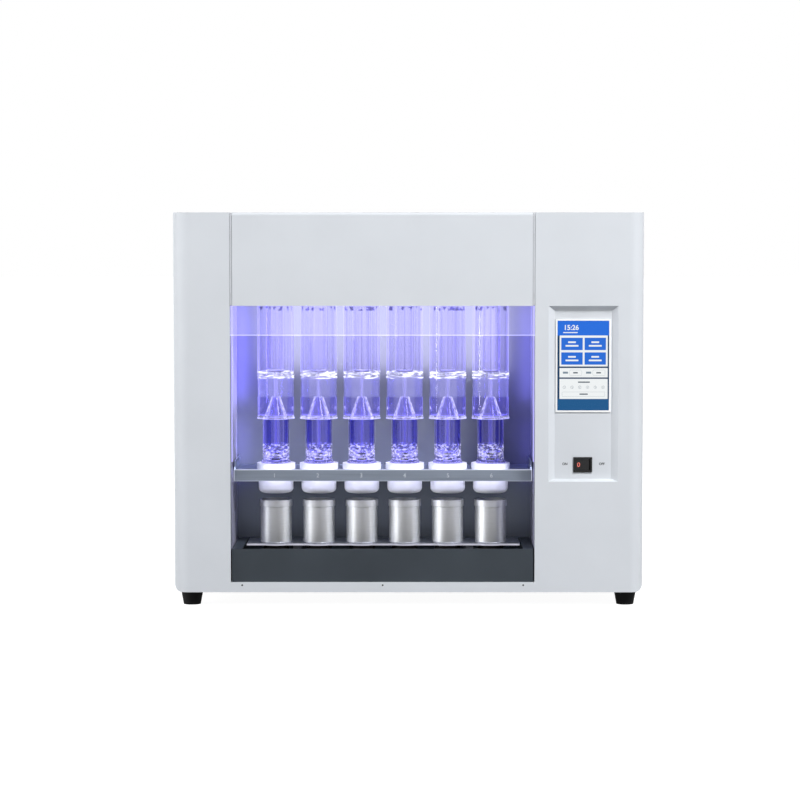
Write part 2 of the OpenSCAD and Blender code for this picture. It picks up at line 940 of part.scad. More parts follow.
module heater_tray() {
    tray_front_y = front_y + 3;
    low_x = open_l + tray_gap;
    high_x = open_r - tray_gap;
    tray_top_z = sill_z + tray_h;
    color([0.28, 0.32, 0.36]) {
        box([low_x, tray_front_y, sill_z], [high_x, wall_y, sill_z + sheet_t]);
        box([low_x, tray_front_y, sill_z], [high_x, tray_front_y + sheet_t, tray_top_z]);
        for (x = [low_x, high_x - sheet_t])
            box([x, tray_front_y, sill_z], [x + sheet_t, wall_y, tray_top_z]);
        for (x = [low_x, high_x - tray_return_w])
            box([x, tray_front_y, tray_top_z - sheet_t], [x + tray_return_w, wall_y, tray_top_z]);
    }
}

module tray_pillars() {
    pillar_d = 14;
    pillar_offset = 200;
    color("silver")
    for (x = [open_cx - pillar_offset, open_cx + pillar_offset], y = [front_y + 60, wall_y - 20])
        translate([x, y, floor_z])
            cylinder(d = pillar_d, h = sill_z - floor_z);
}

// Lift mechanism

module heating_plate() {
    color("silver")
    translate([0, 0, plate_top_z - plate_t])
        linear_extrude(height = plate_t) {
            translate([open_cx - plate_w / 2, plate_front_y])
                square([plate_w, plate_back_y - plate_front_y]);
            for (i = [0 : stations - 1])
                translate([station_x(i), station_y])
                    circle(bulge_r);
        }
}

module heater_pads() {
    pad_d = cup_d - 9;
    pad_t = 8;
    color([0.2, 0.19, 0.19])
    at_stations()
        translate([0, 0, plate_top_z - plate_t - pad_t])
            cylinder(d = pad_d, h = pad_t);
}

module lift_arms() {
    color("silver")
    for (x = arm_x) {
        box([x - arm_w / 2, arm_front_y, arm_z], [x + arm_w / 2, carriage_y, arm_z + arm_h]);
        box([x - arm_w / 2, arm_front_y, arm_z], [x + arm_w / 2, plate_back_y - 4, plate_top_z - plate_t]);
    }
}

module lift_carriage() {
    half = arm_x[1] - open_cx + arm_w / 2;
    color("silver")
    difference() {
        box([open_cx - half, carriage_y, carriage_z],
            [open_cx + half, carriage_y + carriage_t, carriage_z + carriage_h]);
        for (x = rod_x)
            translate([x, rod_y, carriage_z - 1])
                cylinder(d = rod_d + 2 * bush_wall + 2 * run_fit, h = carriage_h + 2);
        translate([open_cx, rod_y, carriage_z - 1])
            cylinder(d = nut_d + 2 * run_fit, h = carriage_h + 2);
    }
}

module guide_bushes() {
    color("goldenrod")
    for (x = rod_x)
        translate([x, rod_y, carriage_z])
            tube(rod_d + 2 * bush_wall, rod_d + 2 * run_fit, carriage_h);
}

module lift_nut() {
    flange_t = 5;
    color("goldenrod")
    translate([open_cx, rod_y, carriage_z])
        difference() {
            union() {
                cylinder(d = nut_d, h = carriage_h);
                translate([0, 0, carriage_h])
                    cylinder(d = carriage_t, h = flange_t);
            }
            translate([0, 0, -1])
                cylinder(d = screw_d + 2 * run_fit, h = carriage_h + flange_t + 2);
        }
}

module lift_screw() {
    color("lightgray")
    translate([open_cx, rod_y, screw_bottom_z])
        cylinder(d = screw_d, h = bracket_z + bracket_t + screw_in_motor - screw_bottom_z);
}

module guide_rods() {
    color("lightgray")
    for (x = rod_x)
        translate([x, rod_y, screw_bottom_z])
            cylinder(d = rod_d, h = bracket_z + bracket_t - screw_bottom_z);
}

module lift_base_block() {
    color("gray")
    difference() {
        box([open_cx - block_w / 2, carriage_y, floor_z],
            [open_cx + block_w / 2, carriage_y + carriage_t, floor_z + block_h]);
        for (x = rod_x)
            translate([x, rod_y, screw_bottom_z])
                cylinder(d = rod_d + 2 * run_fit, h = block_h);
        translate([open_cx, rod_y, screw_bottom_z])
            cylinder(d = screw_d + 2 * run_fit, h = block_h);
    }
}

module lift_bracket() {
    flange_h = 30;
    flange_t = 4;
    motor_back_y = rod_y + motor_w / 2;
    color("gray")
    difference() {
        union() {
            box([open_cx - block_w / 2, wall_back_y, bracket_z],
                [open_cx + block_w / 2, motor_back_y, bracket_z + bracket_t]);
            box([open_cx - block_w / 2, wall_back_y, bracket_z],
                [open_cx + block_w / 2, wall_back_y + flange_t, bracket_z + flange_h]);
        }
        for (x = rod_x)
            translate([x, rod_y, bracket_z - 1])
                cylinder(d = rod_d + 2 * run_fit, h = bracket_t + 2);
        translate([open_cx, rod_y, bracket_z - 1])
            cylinder(d = screw_d + 2 * run_fit, h = bracket_t + 2);
    }
}

module lift_motor() {
    motor_h = 56;
    chamfer = 5;
    color([0.15, 0.15, 0.16])
    translate([open_cx, rod_y, bracket_z + bracket_t])
        difference() {
            linear_extrude(height = motor_h)
                intersection() {
                    square(motor_w, center = true);
                    rotate(45)
                        square(motor_w * sqrt(2) - 2 * chamfer, center = true);
                }
            translate([0, 0, -1])
                cylinder(d = screw_d + 2 * run_fit, h = screw_in_motor + 1 + seat_gap);
        }
}

// Control panel

module display_bezel() {
    color("white")
    difference() {
        box([recess_cx - bezel_w / 2, panel_y - bezel_t, bezel_z],
            [recess_cx + bezel_w / 2, panel_y, bezel_z + bezel_h]);
        box([recess_cx - screen_w / 2, panel_y - bezel_t - 1, bezel_z + bezel_border],
            [recess_cx + screen_w / 2, panel_y + 1, bezel_z + bezel_h - bezel_border]);
    }
}

module display_module() {
    gap = 0.2;
    screen_set_in = 0.8;
    color([0.1, 0.25, 0.6])
    box([recess_cx - screen_w / 2 + gap, panel_y - bezel_t + screen_set_in, bezel_z + bezel_border + gap],
        [recess_cx + screen_w / 2 - gap, panel_y + module_d, bezel_z + bezel_h - bezel_border - gap]);
}

module switch_housing() {
    flange_t = 2.2;
    body_len = 24;
    rocker_room = 11;
    inner_w = switch_body_w - 2 * switch_wall_x;
    inner_h = switch_body_h - 2 * switch_wall_z;
    gap = 0.2;
    color([0.05, 0.05, 0.05])
    translate([recess_cx, panel_y, switch_z])
        difference() {
            union() {
                box([-switch_w / 2, -flange_t, -switch_h / 2], [switch_w / 2, 0, switch_h / 2]);
                box([-switch_body_w / 2 + gap, -1, -switch_body_h / 2 + gap],
                    [switch_body_w / 2 - gap, body_len, switch_body_h / 2 - gap]);
            }
            box([-inner_w / 2, -flange_t - 1, -inner_h / 2], [inner_w / 2, rocker_room, inner_h / 2]);
            translate([0, rocker_y - panel_y, -inner_h / 2 - 1])
                cylinder(d = rocker_pin_d + 2 * run_fit, h = inner_h + 2);
        }
}

module power_rocker() {
    inner_w = switch_body_w - 2 * switch_wall_x;
    inner_h = switch_body_h - 2 * switch_wall_z;
    half_w = inner_w / 2 - 1.5;
    half_h = inner_h / 2 - 0.3;
    pin_len = 1;
    wing_y = -7.6;
    valley_y = -6;
    heel_y = 3;
    color([0.12, 0.1, 0.1])
    translate([recess_cx, rocker_y, switch_z])
        rotate([0, 0, -rocker_tilt]) {
            translate([0, 0, -half_h])
                linear_extrude(height = 2 * half_h)
                    polygon([[-half_w, wing_y], [0, valley_y], [half_w, wing_y],
                             [half_w - 1, 0], [0, heel_y], [1 - half_w, 0]]);
            translate([0, 0, -half_h - pin_len])
                cylinder(d = rocker_pin_d, h = 2 * (half_h + pin_len));
        }
}

module control_board() {
    board_t = 1.6;
    // Chips and plugs on the board: place across, place up, width, height up the board, height off the board
    chips = [[-30, 60, 20, 20, 3], [10, 30, 26, 18, 12], [-36, 110, 40, 12, 10]];
    color("darkgreen") {
        box([recess_cx - board_w / 2, board_y, board_low_z],
            [recess_cx + board_w / 2, board_y + board_t, board_high_z]);
        for (chip = chips)
            translate([recess_cx + chip[0], board_y + board_t / 2, board_low_z + chip[1]])
                cube([chip[2], board_t / 2 + chip[4], chip[3]]);
    }
}

module board_standoffs() {
    inset_x = 10;
    inset_z = 5;
    standoff_d = 6;
    color("silver")
    for (x = [recess_cx - board_w / 2 + inset_x, recess_cx + board_w / 2 - inset_x],
         z = [board_low_z + inset_z, board_high_z - inset_z])
        translate([x, panel_y + sheet_t, z])
            bar_along_y(standoff_d, board_y - panel_y - sheet_t);
}

module power_supply() {
    low_x = open_r + 28;
    size = [105, 210, 50];
    slot_count = 10;
    slot_pitch = 17;
    slot_w = 6;
    slot_depth = 1.5;
    slot_inset = [12, 22];
    color("silver")
    translate([low_x, wall_y, floor_z])
        difference() {
            cube(size);
            for (i = [0 : slot_count - 1])
                translate([slot_inset[0], slot_inset[1] + i * slot_pitch, size[2] - slot_depth])
                    cube([size[0] - 2 * slot_inset[0], slot_w, slot_depth + 1]);
        }
}

module power_inlet() {
    flange = 5;
    flange_t = 3;
    gap = 0.2;
    depth = 26;
    wall = 3;
    socket_w = 28;
    socket_h = 20;
    socket_depth = 16;
    fuse_w = 9;
    color([0.06, 0.06, 0.06])
    translate([inlet_x, rear_y, inlet_z])
        difference() {
            union() {
                box([-inlet_w / 2 - flange, 0, -inlet_h / 2 - flange],
                    [inlet_w / 2 + flange, flange_t, inlet_h / 2 + flange]);
                box([-inlet_w / 2 + gap, -depth, -inlet_h / 2 + gap],
                    [inlet_w / 2 - gap, 1, inlet_h / 2 - gap]);
            }
            box([wall - inlet_w / 2, -socket_depth, -socket_h / 2],
                [wall - inlet_w / 2 + socket_w, flange_t + 1, socket_h / 2]);
            box([inlet_w / 2 - wall - fuse_w, flange_t - 1, -socket_h / 2],
                [inlet_w / 2 - wall, flange_t + 1, socket_h / 2]);
        }
}

module water_nipples() {
    nipple_d = 10;
    nut_t = 5;
    nut_across = 20;
    bore = 6;
    color("goldenrod")
    for (i = [0 : 1])
        translate([pipe_x[i], rear_y, water_z[i]])
            rotate([-90, 0, 0])
                difference() {
                    union() {
                        cylinder(d = nut_across, h = nut_t, $fn = 6);
                        cylinder(d = nipple_d, h = rear_recess - 1);
                        translate([0, 0, -sheet_t])
                            cylinder(d = manifold_d, h = sheet_t + 1);
                    }
                    cylinder(d = bore, h = rear_recess + 1);
                }
}

// Lid, hinges and sash

// Side view of the lid's bent sheet, drawn in from its outer faces by an inset
module lid_corner(inset) {
    r = lid_bend_r - inset;
    translate([front_y + inset, apron_z - inset])
        square([lid_d + inset, apron_h - lid_bend_r + inset]);
    translate([front_y + lid_bend_r, apron_z - inset])
        square([lid_d - lid_bend_r + inset, apron_h]);
    translate([front_y + lid_bend_r, top_z - lid_bend_r])
        circle(r);
}

module lid() {
    low_x = open_l + lid_gap;
    high_x = open_r - lid_gap;
    hem = 4;
    flange_front_y = guide_end_y + 2;
    flange_setback = 10;
    color("gainsboro") {
        translate([low_x, 0, 0])
            rotate([90, 0, 90])
                linear_extrude(height = high_x - low_x)
                    difference() {
                        intersection() {
                            lid_corner(0);
                            translate([front_y, apron_z])
                                square([lid_d, apron_h]);
                        }
                        lid_corner(sheet_t);
                    }
        box([low_x + stop_w, front_y, apron_z], [high_x - stop_w, front_y + hem, apron_z + sheet_t]);
        for (x = [low_x, high_x - sheet_t])
            box([x, flange_front_y, under_top_z - lid_flange],
                [x + sheet_t, lid_back_y - flange_setback, under_top_z + 1]);
    }
}

module at_hinges() {
    for (side = [-1, 1])
        translate([open_cx + side * hinge_offset, hinge_y, hinge_z])
            children();
}

module barrel(low_x, length) {
    translate([low_x, 0, 0])
        rotate([0, 90, 0])
            cylinder(d = barrel_d, h = length);
}

module hinge_bore() {
    translate([-2 * knuckle_len, 0, 0])
        rotate([0, 90, 0])
            cylinder(d = hinge_pin_d + 2 * run_fit, h = 4 * knuckle_len);
}

module hinge_fixed_leaves() {
    color("silver")
    at_hinges()
        difference() {
            union() {
                for (x = [-1.5 * knuckle_len, knuckle_len / 2 + barrel_gap]) {
                    barrel(x, knuckle_len - barrel_gap);
                    box([x, 0, leaf_low_z], [x + knuckle_len - barrel_gap, leaf_len, leaf_low_z + leaf_t]);
                }
                box([-1.5 * knuckle_len, barrel_d / 2 + barrel_gap, leaf_low_z],
                    [1.5 * knuckle_len, leaf_len, leaf_low_z + leaf_t]);
            }
            hinge_bore();
        }
}

module hinge_lid_leaves() {
    half = knuckle_len / 2 - barrel_gap;
    color("silver")
    at_hinges()
        difference() {
            union() {
                barrel(-half, 2 * half);
                box([-half, -leaf_len, leaf_low_z], [half, 0, leaf_low_z + leaf_t]);
                box([-1.5 * knuckle_len, -leaf_len, leaf_low_z],
                    [1.5 * knuckle_len, -barrel_d / 2 - barrel_gap, leaf_low_z + leaf_t]);
            }
            hinge_bore();
        }
}

module hinge_pins() {
    color("lightgray")
    at_hinges()
        translate([-1.5 * knuckle_len, 0, 0])
            rotate([0, 90, 0])
                cylinder(d = hinge_pin_d, h = 3 * knuckle_len);
}

module sash_panel() {
    color([0.9, 0.92, 1, 0.3])
    box([open_l - sash_in_guide, sash_y, sash_z],
        [open_r + sash_in_guide, sash_y + sash_t, sash_z + sash_h]);
}

// Cups

module cup(i) {
    base_t = 1.5;
    base_r = 3;
    color("lightgray")
    translate([station_x(i), station_y, plate_top_z])
        rotate_extrude()
            difference() {
                union() {
                    rounded_foot_section(cup_d / 2, cup_h, base_r);
                    translate([0, cup_h - rim_h])
                        rounded_foot_section(rim_d / 2, rim_h, (rim_d - cup_d) / 2);
                }
                translate([0, base_t])
                    square([cup_d / 2 - cup_t, cup_h]);
            }
}

base_pan();
left_cover();
right_cover();
top_cover();
rear_panel();
feet();
foot_screws();
sill_screws();
rear_screws();
chamber_back_wall();
chamber_side_walls();
sash_guides();
shelf();
seat_flanges();
seal_bells();
extraction_tubes();
solvent_bowls();
condenser_jackets();
condenser_cores();
drip_tubes();
condenser_caps();
condenser_rail();
water_manifolds();
coolant_hoses();
drain_tubes();
recovery_valves();
heater_tray();
tray_pillars();
lift_base_block();
lift_bracket();
guide_rods();
lift_motor();
led_strips();
display_bezel();
display_module();
switch_housing();
control_board();
board_standoffs();
power_supply();
power_inlet();
water_nipples();
hinge_fixed_leaves();
hinge_pins();
lid();
hinge_lid_leaves();
sash_panel();
heating_plate();
heater_pads();
lift_arms();
lift_carriage();
guide_bushes();
lift_nut();
lift_screw();
power_rocker();
cup(0);  // cup_1
cup(1);  // cup_2
cup(2);  // cup_3
cup(3);  // cup_4
cup(4);  // cup_5
cup(5);  // cup_6
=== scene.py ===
"""The looks of a six-station fat analyzer.

Materials, lit chamber, touch screen, marks, stage, light and camera.
"""
import json
import math
from collections import namedtuple

import bmesh
import bpy
from mathutils import Matrix, Vector


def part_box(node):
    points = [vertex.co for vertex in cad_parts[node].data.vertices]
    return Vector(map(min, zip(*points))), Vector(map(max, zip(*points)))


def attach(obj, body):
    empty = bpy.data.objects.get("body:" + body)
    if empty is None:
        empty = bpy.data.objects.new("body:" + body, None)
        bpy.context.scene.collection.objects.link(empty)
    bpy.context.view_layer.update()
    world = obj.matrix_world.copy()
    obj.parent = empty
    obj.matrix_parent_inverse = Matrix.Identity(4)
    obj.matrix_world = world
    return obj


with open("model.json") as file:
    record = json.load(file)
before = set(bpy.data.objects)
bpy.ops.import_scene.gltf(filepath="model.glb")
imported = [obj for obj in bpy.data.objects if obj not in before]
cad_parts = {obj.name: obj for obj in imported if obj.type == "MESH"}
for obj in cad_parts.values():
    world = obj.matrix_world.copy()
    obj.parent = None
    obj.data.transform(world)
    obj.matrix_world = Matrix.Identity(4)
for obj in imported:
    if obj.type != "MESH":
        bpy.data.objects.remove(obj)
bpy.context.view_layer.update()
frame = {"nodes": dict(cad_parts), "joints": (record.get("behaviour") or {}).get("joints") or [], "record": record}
nodes = frame["nodes"]
scene = bpy.context.scene
MM = 0.001

# Paint, metal, plastic and print. All colours are linear
WHITE_PAINT = (0.66, 0.69, 0.73)
CHAMBER_GREY = (0.100, 0.114, 0.136)
# The side walls are lighter than the back wall, and their violet tint is painted LED light
SIDE_WALL_GREY_LED_TINT = (0.29, 0.29, 0.38)
SHELF_GREY = (0.35, 0.40, 0.49)
TRAY_SLATE = (0.036, 0.046, 0.058)
FLUOROPOLYMER = (0.92, 0.92, 0.94)
CAP_WHITE = (0.66, 0.67, 0.70)
CUP_METAL = (0.785, 0.795, 0.805)
PLATE_METAL = (0.56, 0.57, 0.64)
STEEL = (0.62, 0.63, 0.65)
SCREW_DARK = (0.05, 0.05, 0.055)
BRASS = (0.72, 0.53, 0.24)
RUBBER_BLACK = (0.006, 0.006, 0.007)
HOSE_CLEAR = (0.60, 0.66, 0.72)
PLASTIC_BLACK = (0.010, 0.010, 0.011)
BEZEL_WHITE = (0.95, 0.96, 0.97)
SEAM_GREY = (0.62, 0.64, 0.68)
BOARD_GREEN = (0.012, 0.075, 0.030)
HEATER_DARK = (0.030, 0.028, 0.028)
MOTOR_BLACK = (0.015, 0.015, 0.017)
PRINT_GREY = (0.035, 0.038, 0.042)
LIP_PRINT = (0.62, 0.66, 0.72)
ROCKER_MARK = (0.85, 0.18, 0.14)
ROCKER_MARK_GLOW = (0.90, 0.20, 0.15)

# Glass and the clear sash: their tints, and the colours of the glow, highlights and dark patches painted on them
GLASS_TINT = (0.90, 0.89, 1.0)
BOWL_DEEP_TINT = (0.75, 0.73, 1.0)
TUBE_TINT = (0.46, 0.44, 1.0)
SHADE_PATCH_BLUE = (0.02, 0.01, 0.32)
LED_VIOLET = (0.24, 0.21, 1.0)
LED_PALE = (0.50, 0.48, 1.0)
FROST_GLOW_BLUE = (0.30, 0.30, 1.0)
STREAK_PALE = (0.72, 0.70, 1.0)
CONE_PALE = (0.86, 0.85, 1.0)
EDGE_PALE = (0.86, 0.86, 1.0)
COLLAR_PALE = (0.86, 0.88, 1.0)
FLOOR_GLINT_PALE = (0.84, 0.83, 1.0)
SASH_HAZE = (0.93, 0.93, 1.0)
SASH_CLEAR = (0.97, 0.97, 1.0)
SASH_EDGE = (0.72, 0.72, 1.0)

# Touch screen
SCREEN_COVER = (0.004, 0.004, 0.005)
SCREEN_NAVY = (0.012, 0.045, 0.115)
SCREEN_HEADER = (0.020, 0.160, 0.740)
SCREEN_TILE = (0.022, 0.155, 0.690)
SCREEN_BAND = (0.012, 0.100, 0.265)
SCREEN_WHITE = (0.93, 0.96, 0.97)
SCREEN_LINE = (0.24, 0.31, 0.38)
SCREEN_TEXT = (0.11, 0.14, 0.17)

# Lamps and studio
LAMP_WHITE = (1.0, 1.0, 1.0)
LAMP_COOL = (0.99, 0.99, 1.0)
LAMP_VIOLET = (0.22, 0.19, 1.0)
LAMP_LILAC = (0.74, 0.68, 0.92)
SEAT_LIGHT = (0.80, 0.82, 1.0)
BAY_LIGHT = (0.74, 0.75, 1.0)
BAY_WALL_LIGHT = (0.74, 0.80, 1.0)
CUP_LIGHT = (0.97, 0.99, 1.0)
ROOM_WHITE = (0.97, 0.98, 1.0)
FLOOR_LOW = (0.27, 0.27, 0.27)
FLOOR_HIGH = (0.30, 0.30, 0.30)
FLOOR_DARK = (0.05, 0.05, 0.055)

# The six stations, from the places of their cups
STATIONS = 6
CUPS = ["cup_%d" % (i + 1) for i in range(STATIONS)]
STATION_PLACES = [(low + high) / 2 for low, high in (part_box(name) for name in CUPS)]
STATION_FIRST = STATION_PLACES[0]
STATION_PITCH = (STATION_PLACES[-1].x - STATION_FIRST.x) / (STATIONS - 1)

# CAD boxes that the looks follow
cup_low, cup_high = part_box(CUPS[0])
shelf_low, shelf_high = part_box("shelf")
lid_low, lid_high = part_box("lid")
bowl_low, bowl_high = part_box("solvent_bowls")
jacket_low, jacket_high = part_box("condenser_jackets")
strip_low, strip_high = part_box("led_strips")
screen_low, screen_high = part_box("display_module")
switch_low, switch_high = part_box("switch_housing")
tube_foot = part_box("extraction_tubes")[0].z
sash_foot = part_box("sash_panel")[0].z
wall_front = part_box("chamber_back_wall")[0].y
panel_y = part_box("display_bezel")[1].y


# Materials

# Most values of a noise lie in these ranges
NOISE_RANGE = (0.3, 0.7)
WIDE_NOISE_RANGE = (0.25, 0.75)


class Surface:
    """A material with one Principled shader, and short ways to drive it over the object."""

    def __init__(self, name):
        self.mat = bpy.data.materials.new(name)
        self.mat.use_nodes = True
        self.tree = self.mat.node_tree
        self.shader = self.tree.nodes["Principled BSDF"]
        self.out = self.tree.nodes["Material Output"]
        self.coords = self.tree.nodes.new("ShaderNodeTexCoord")

    def set(self, **values):
        """Sets the shader's sockets by name, with _ for a space."""
        for key, value in values.items():
            self.shader.inputs[key.replace("_", " ")].default_value = value
        return self

    def node(self, kind, **inputs):
        made = self.tree.nodes.new(kind)
        for key, value in inputs.items():
            made.inputs[key.replace("_", " ")].default_value = value
        return made

    def link(self, source, target):
        self.tree.links.new(source, target)

    def drive(self, source, socket):
        """Links a value to one of the shader's sockets."""
        self.link(source, self.shader.inputs[socket])

    def feed(self, value, socket):
        if isinstance(value, (int, float)):
            socket.default_value = value
        else:
            self.link(value, socket)

    def noise(self, grain, detail=3.0):
        """A noise value over the object, with a scale for each axis in cycles per metre."""
        mapping = self.node("ShaderNodeMapping", Scale=grain)
        self.link(self.coords.outputs["Object"], mapping.inputs["Vector"])
        tex = self.node("ShaderNodeTexNoise", Scale=1.0, Detail=detail)
        self.link(mapping.outputs["Vector"], tex.inputs["Vector"])
        return tex.outputs["Fac"]

    def span(self, value, low, high, out_low, out_high, smooth=False):
        """Maps a value from one range to another, held at both ends."""
        made = self.node("ShaderNodeMapRange", From_Min=low, From_Max=high, To_Min=out_low, To_Max=out_high)
        if smooth:
            made.interpolation_type = "SMOOTHSTEP"
        self.link(value, made.inputs["Value"])
        return made.outputs["Result"]

    def between(self, value, low, high, edge):
        """1 where a value lies between two limits, with a soft edge."""
        above = self.span(value, low - edge, low + edge, 0.0, 1.0, smooth=True)
        below = self.span(value, high - edge, high + edge, 1.0, 0.0, smooth=True)
        return self.calc("MULTIPLY", above, below)

    def blend(self, value, low, high):
        """A colour between two, each a tuple or a socket, by a value from 0 to 1."""
        mix = self.tree.nodes.new("ShaderNodeMix")
        mix.data_type = "RGBA"
        for socket, color in ((mix.inputs[6], low), (mix.inputs[7], high)):
            if isinstance(color, tuple):
                socket.default_value = (*color, 1.0)
            else:
                self.link(color, socket)
        self.link(value, mix.inputs[0])
        return mix.outputs[2]

    def between_values(self, factor, low, high):
        """A number between two others, by a factor from 0 to 1."""
        mix = self.tree.nodes.new("ShaderNodeMix")
        for socket, value in zip((mix.inputs[0], mix.inputs[2], mix.inputs[3]), (factor, low, high)):
            self.feed(value, socket)
        return mix.outputs[0]

    def calc(self, operation, *values):
        """One step of arithmetic on numbers and sockets."""
        made = self.tree.nodes.new("ShaderNodeMath")
        made.operation = operation
        for socket, value in zip(made.inputs, values):
            self.feed(value, socket)
        return made.outputs["Value"]

    def bump(self, value, depth, strength=1.0):
        made = self.node("ShaderNodeBump", Strength=strength, Distance=depth)
        self.link(value, made.inputs["Height"])
        self.drive(made.outputs["Normal"], "Normal")
        return self

    def axis(self, axis, kind="Object"):
        """One axis of the object's own coordinates, in metres, or of its normals."""
        split = self.tree.nodes.new("ShaderNodeSeparateXYZ")
        self.link(self.coords.outputs[kind], split.inputs["Vector"])
        return split.outputs[axis]

    def height(self):
        return self.axis("Z")

    def off_station(self):
        """The distance from the nearest station's upright axis, in metres."""
        steps = self.calc("DIVIDE", self.calc("SUBTRACT", self.axis("X"), STATION_FIRST.x), STATION_PITCH)
        from_half_way = self.calc("FRACT", self.calc("ADD", steps, 0.5))
        across = self.calc("MULTIPLY", self.calc("SUBTRACT", from_half_way, 0.5), STATION_PITCH)
        along = self.calc("SUBTRACT", self.axis("Y"), STATION_FIRST.y)
        squares = self.calc("ADD", self.calc("POWER", across, 2.0), self.calc("POWER", along, 2.0))
        return self.calc("SQRT", squares)

    def drift_color(self, noise, color, vary):
        """The base colour, a little darker and lighter with a noise value."""
        share = self.span(noise, *NOISE_RANGE, 0.0, 1.0)
        self.drive(self.blend(share, scaled(color, 1 - vary), scaled(color, 1 + vary)), "Base Color")


def scaled(color, k):
    return tuple(min(1.0, c * k) for c in color)


PEEL_DEPTH = 2e-5
LOOKS_UP = (0.4, 0.8)


def coated(name, color, rough, vary=0.05, patch=(9, 9, 9), peel=900.0, level_rough=None, **sockets):
    """Paint or moulded plastic: slow colour drift, uneven gloss and a fine orange-peel skin.

    With level_rough, faces that look up have that roughness instead.
    """
    rough_spread = 0.06
    s = Surface(name).set(**sockets)
    drift = s.noise(patch, 4.0)
    s.drift_color(drift, color, vary)
    gloss = s.span(drift, *NOISE_RANGE, rough - rough_spread, rough + rough_spread)
    if level_rough is not None:
        level = s.span(s.axis("Z", "Normal"), *LOOKS_UP, 0.0, 1.0)
        gloss = s.between_values(level, gloss, level_rough)
    s.drive(gloss, "Roughness")
    return s.bump(s.noise((peel, peel, peel), 2.0), PEEL_DEPTH).mat


LINE_DEPTH = 8e-6


def metal(name, color, rough, grain, vary=0.06, rough_spread=0.08, turned=False, paint_highlight=None):
    """Machined or drawn metal: fine lines along the working direction.

    A turned piece draws its highlights out upright, and an optional mask paints a highlight as pale emission, such
    as on bright edges.
    """
    s = Surface(name).set(Metallic=1.0)
    if paint_highlight:
        s.set(Emission_Color=(*EDGE_PALE, 1.0))
        s.drive(paint_highlight(s), "Emission Strength")
    if turned:
        s.set(Anisotropic=0.3, Anisotropic_Rotation=0.25)
        round_axis = s.tree.nodes.new("ShaderNodeTangent")
        round_axis.direction_type = "RADIAL"
        round_axis.axis = "Z"
        s.drive(round_axis.outputs["Tangent"], "Tangent")
    lines = s.noise(grain, 3.0)
    s.drift_color(lines, color, vary)
    s.drive(s.span(lines, *WIDE_NOISE_RANGE, rough - rough_spread, rough + rough_spread), "Roughness")
    return s.bump(lines, LINE_DEPTH).mat


LIP_HEIGHT = 20 * MM
LIP_DEPTH = 3 * MM
LIP_UPPER_GLOW = 0.55
LIP_LOWER_GLOW = 0.25
LIP_END_GLOW = 0.45


def lip_painted_highlight(s):
    """A painted highlight, as pale emission, on the shelf lip's upper, lower and end edges."""
    reach = 1.2 * MM
    soft = 0.2 * MM
    top = shelf_low.z + LIP_HEIGHT
    upper = s.span(s.height(), top - reach - soft, top - reach, 0.0, LIP_UPPER_GLOW)
    lower = s.span(s.height(), shelf_low.z + 0.8 * MM, shelf_low.z + 1.0 * MM, LIP_LOWER_GLOW, 0.0)
    middle = s.between(s.axis("X"), shelf_low.x + reach, shelf_high.x - reach, soft)
    ends = s.calc("SUBTRACT", LIP_END_GLOW, s.calc("MULTIPLY", LIP_END_GLOW, middle))
    brightest = s.calc("MAXIMUM", s.calc("MAXIMUM", upper, lower), ends)
    behind_lip = shelf_low.y + LIP_DEPTH
    return s.calc("MULTIPLY", brightest, s.span(s.axis("Y"), behind_lip, behind_lip + 0.4 * MM, 1.0, 0.0))


PLATE_EDGE_GLOW = 0.42
LOOKS_TO_FRONT = (-0.85, -0.55)


def plate_painted_highlight(s):
    """A painted highlight, as pale emission, on the heating plate's front edge."""
    return s.span(s.axis("Y", "Normal"), *LOOKS_TO_FRONT, PLATE_EDGE_GLOW, 0.0)


def lets_lamps_through(s):
    """Lamps shine through the glass instead of casting a hard shadow."""
    path = s.tree.nodes.new("ShaderNodeLightPath")
    clear = s.tree.nodes.new("ShaderNodeBsdfTransparent")
    mix = s.tree.nodes.new("ShaderNodeMixShader")
    s.link(path.outputs["Is Shadow Ray"], mix.inputs["Fac"])
    s.link(s.shader.outputs["BSDF"], mix.inputs[1])
    s.link(clear.outputs["BSDF"], mix.inputs[2])
    s.link(mix.outputs["Shader"], s.out.inputs["Surface"])
    return s.mat


# Haze and a painted glow between two heights of a glass, with the grain and share of its painted sparkle
Band = namedtuple("Band", "low high rough glow color grain glint")

# The flanks of the vapour cone, inside a radius and between two heights, which get a speckled painted glow
Cone = namedtuple("Cone", "radius low high")

# Painted dark patches between two heights, which stand in for the pieces above showing through
ShadePatches = namedtuple("ShadePatches", "low high")

# A tint that the glass has below a level
Deep = namedtuple("Deep", "level tint")

GLASS_IOR = 1.45
RIPPLE_GRAIN = (55, 55, 5)
RIPPLE_DEPTH = 6e-5
RIPPLE_STRENGTH = 0.5
RIPPLE_DARKER = 0.97
RIPPLE_ROUGH = 0.012
EDGE_ON = (0.68, 0.97)
STREAK_GRAIN = (190, 190, 1.5)
STREAK_RANGE = (0.56, 0.66)
BAND_EDGE = 0.8 * MM
GLINT_RANGE = (0.53, 0.60)
GLINT_GAIN = 4
CONE_EDGE = 0.3 * MM
CONE_FACING = (0.20, 0.48)
CONE_GLOW = 0.40
CONE_GRAIN = (320, 320, 160)
CONE_NOISE_RANGE = (0.40, 0.60)
CONE_SPECKLE = (0.15, 1.7)
SHADE_PATCH_EDGE = 0.6 * MM
SHADE_PATCH_GRAIN = (150, 150, 110)
SHADE_PATCH_RANGE = (0.57, 0.60)
SHADE_PATCH_FRONT = STATION_FIRST.y - 12 * MM
SHADE_PATCH_BACK = STATION_FIRST.y - 8 * MM


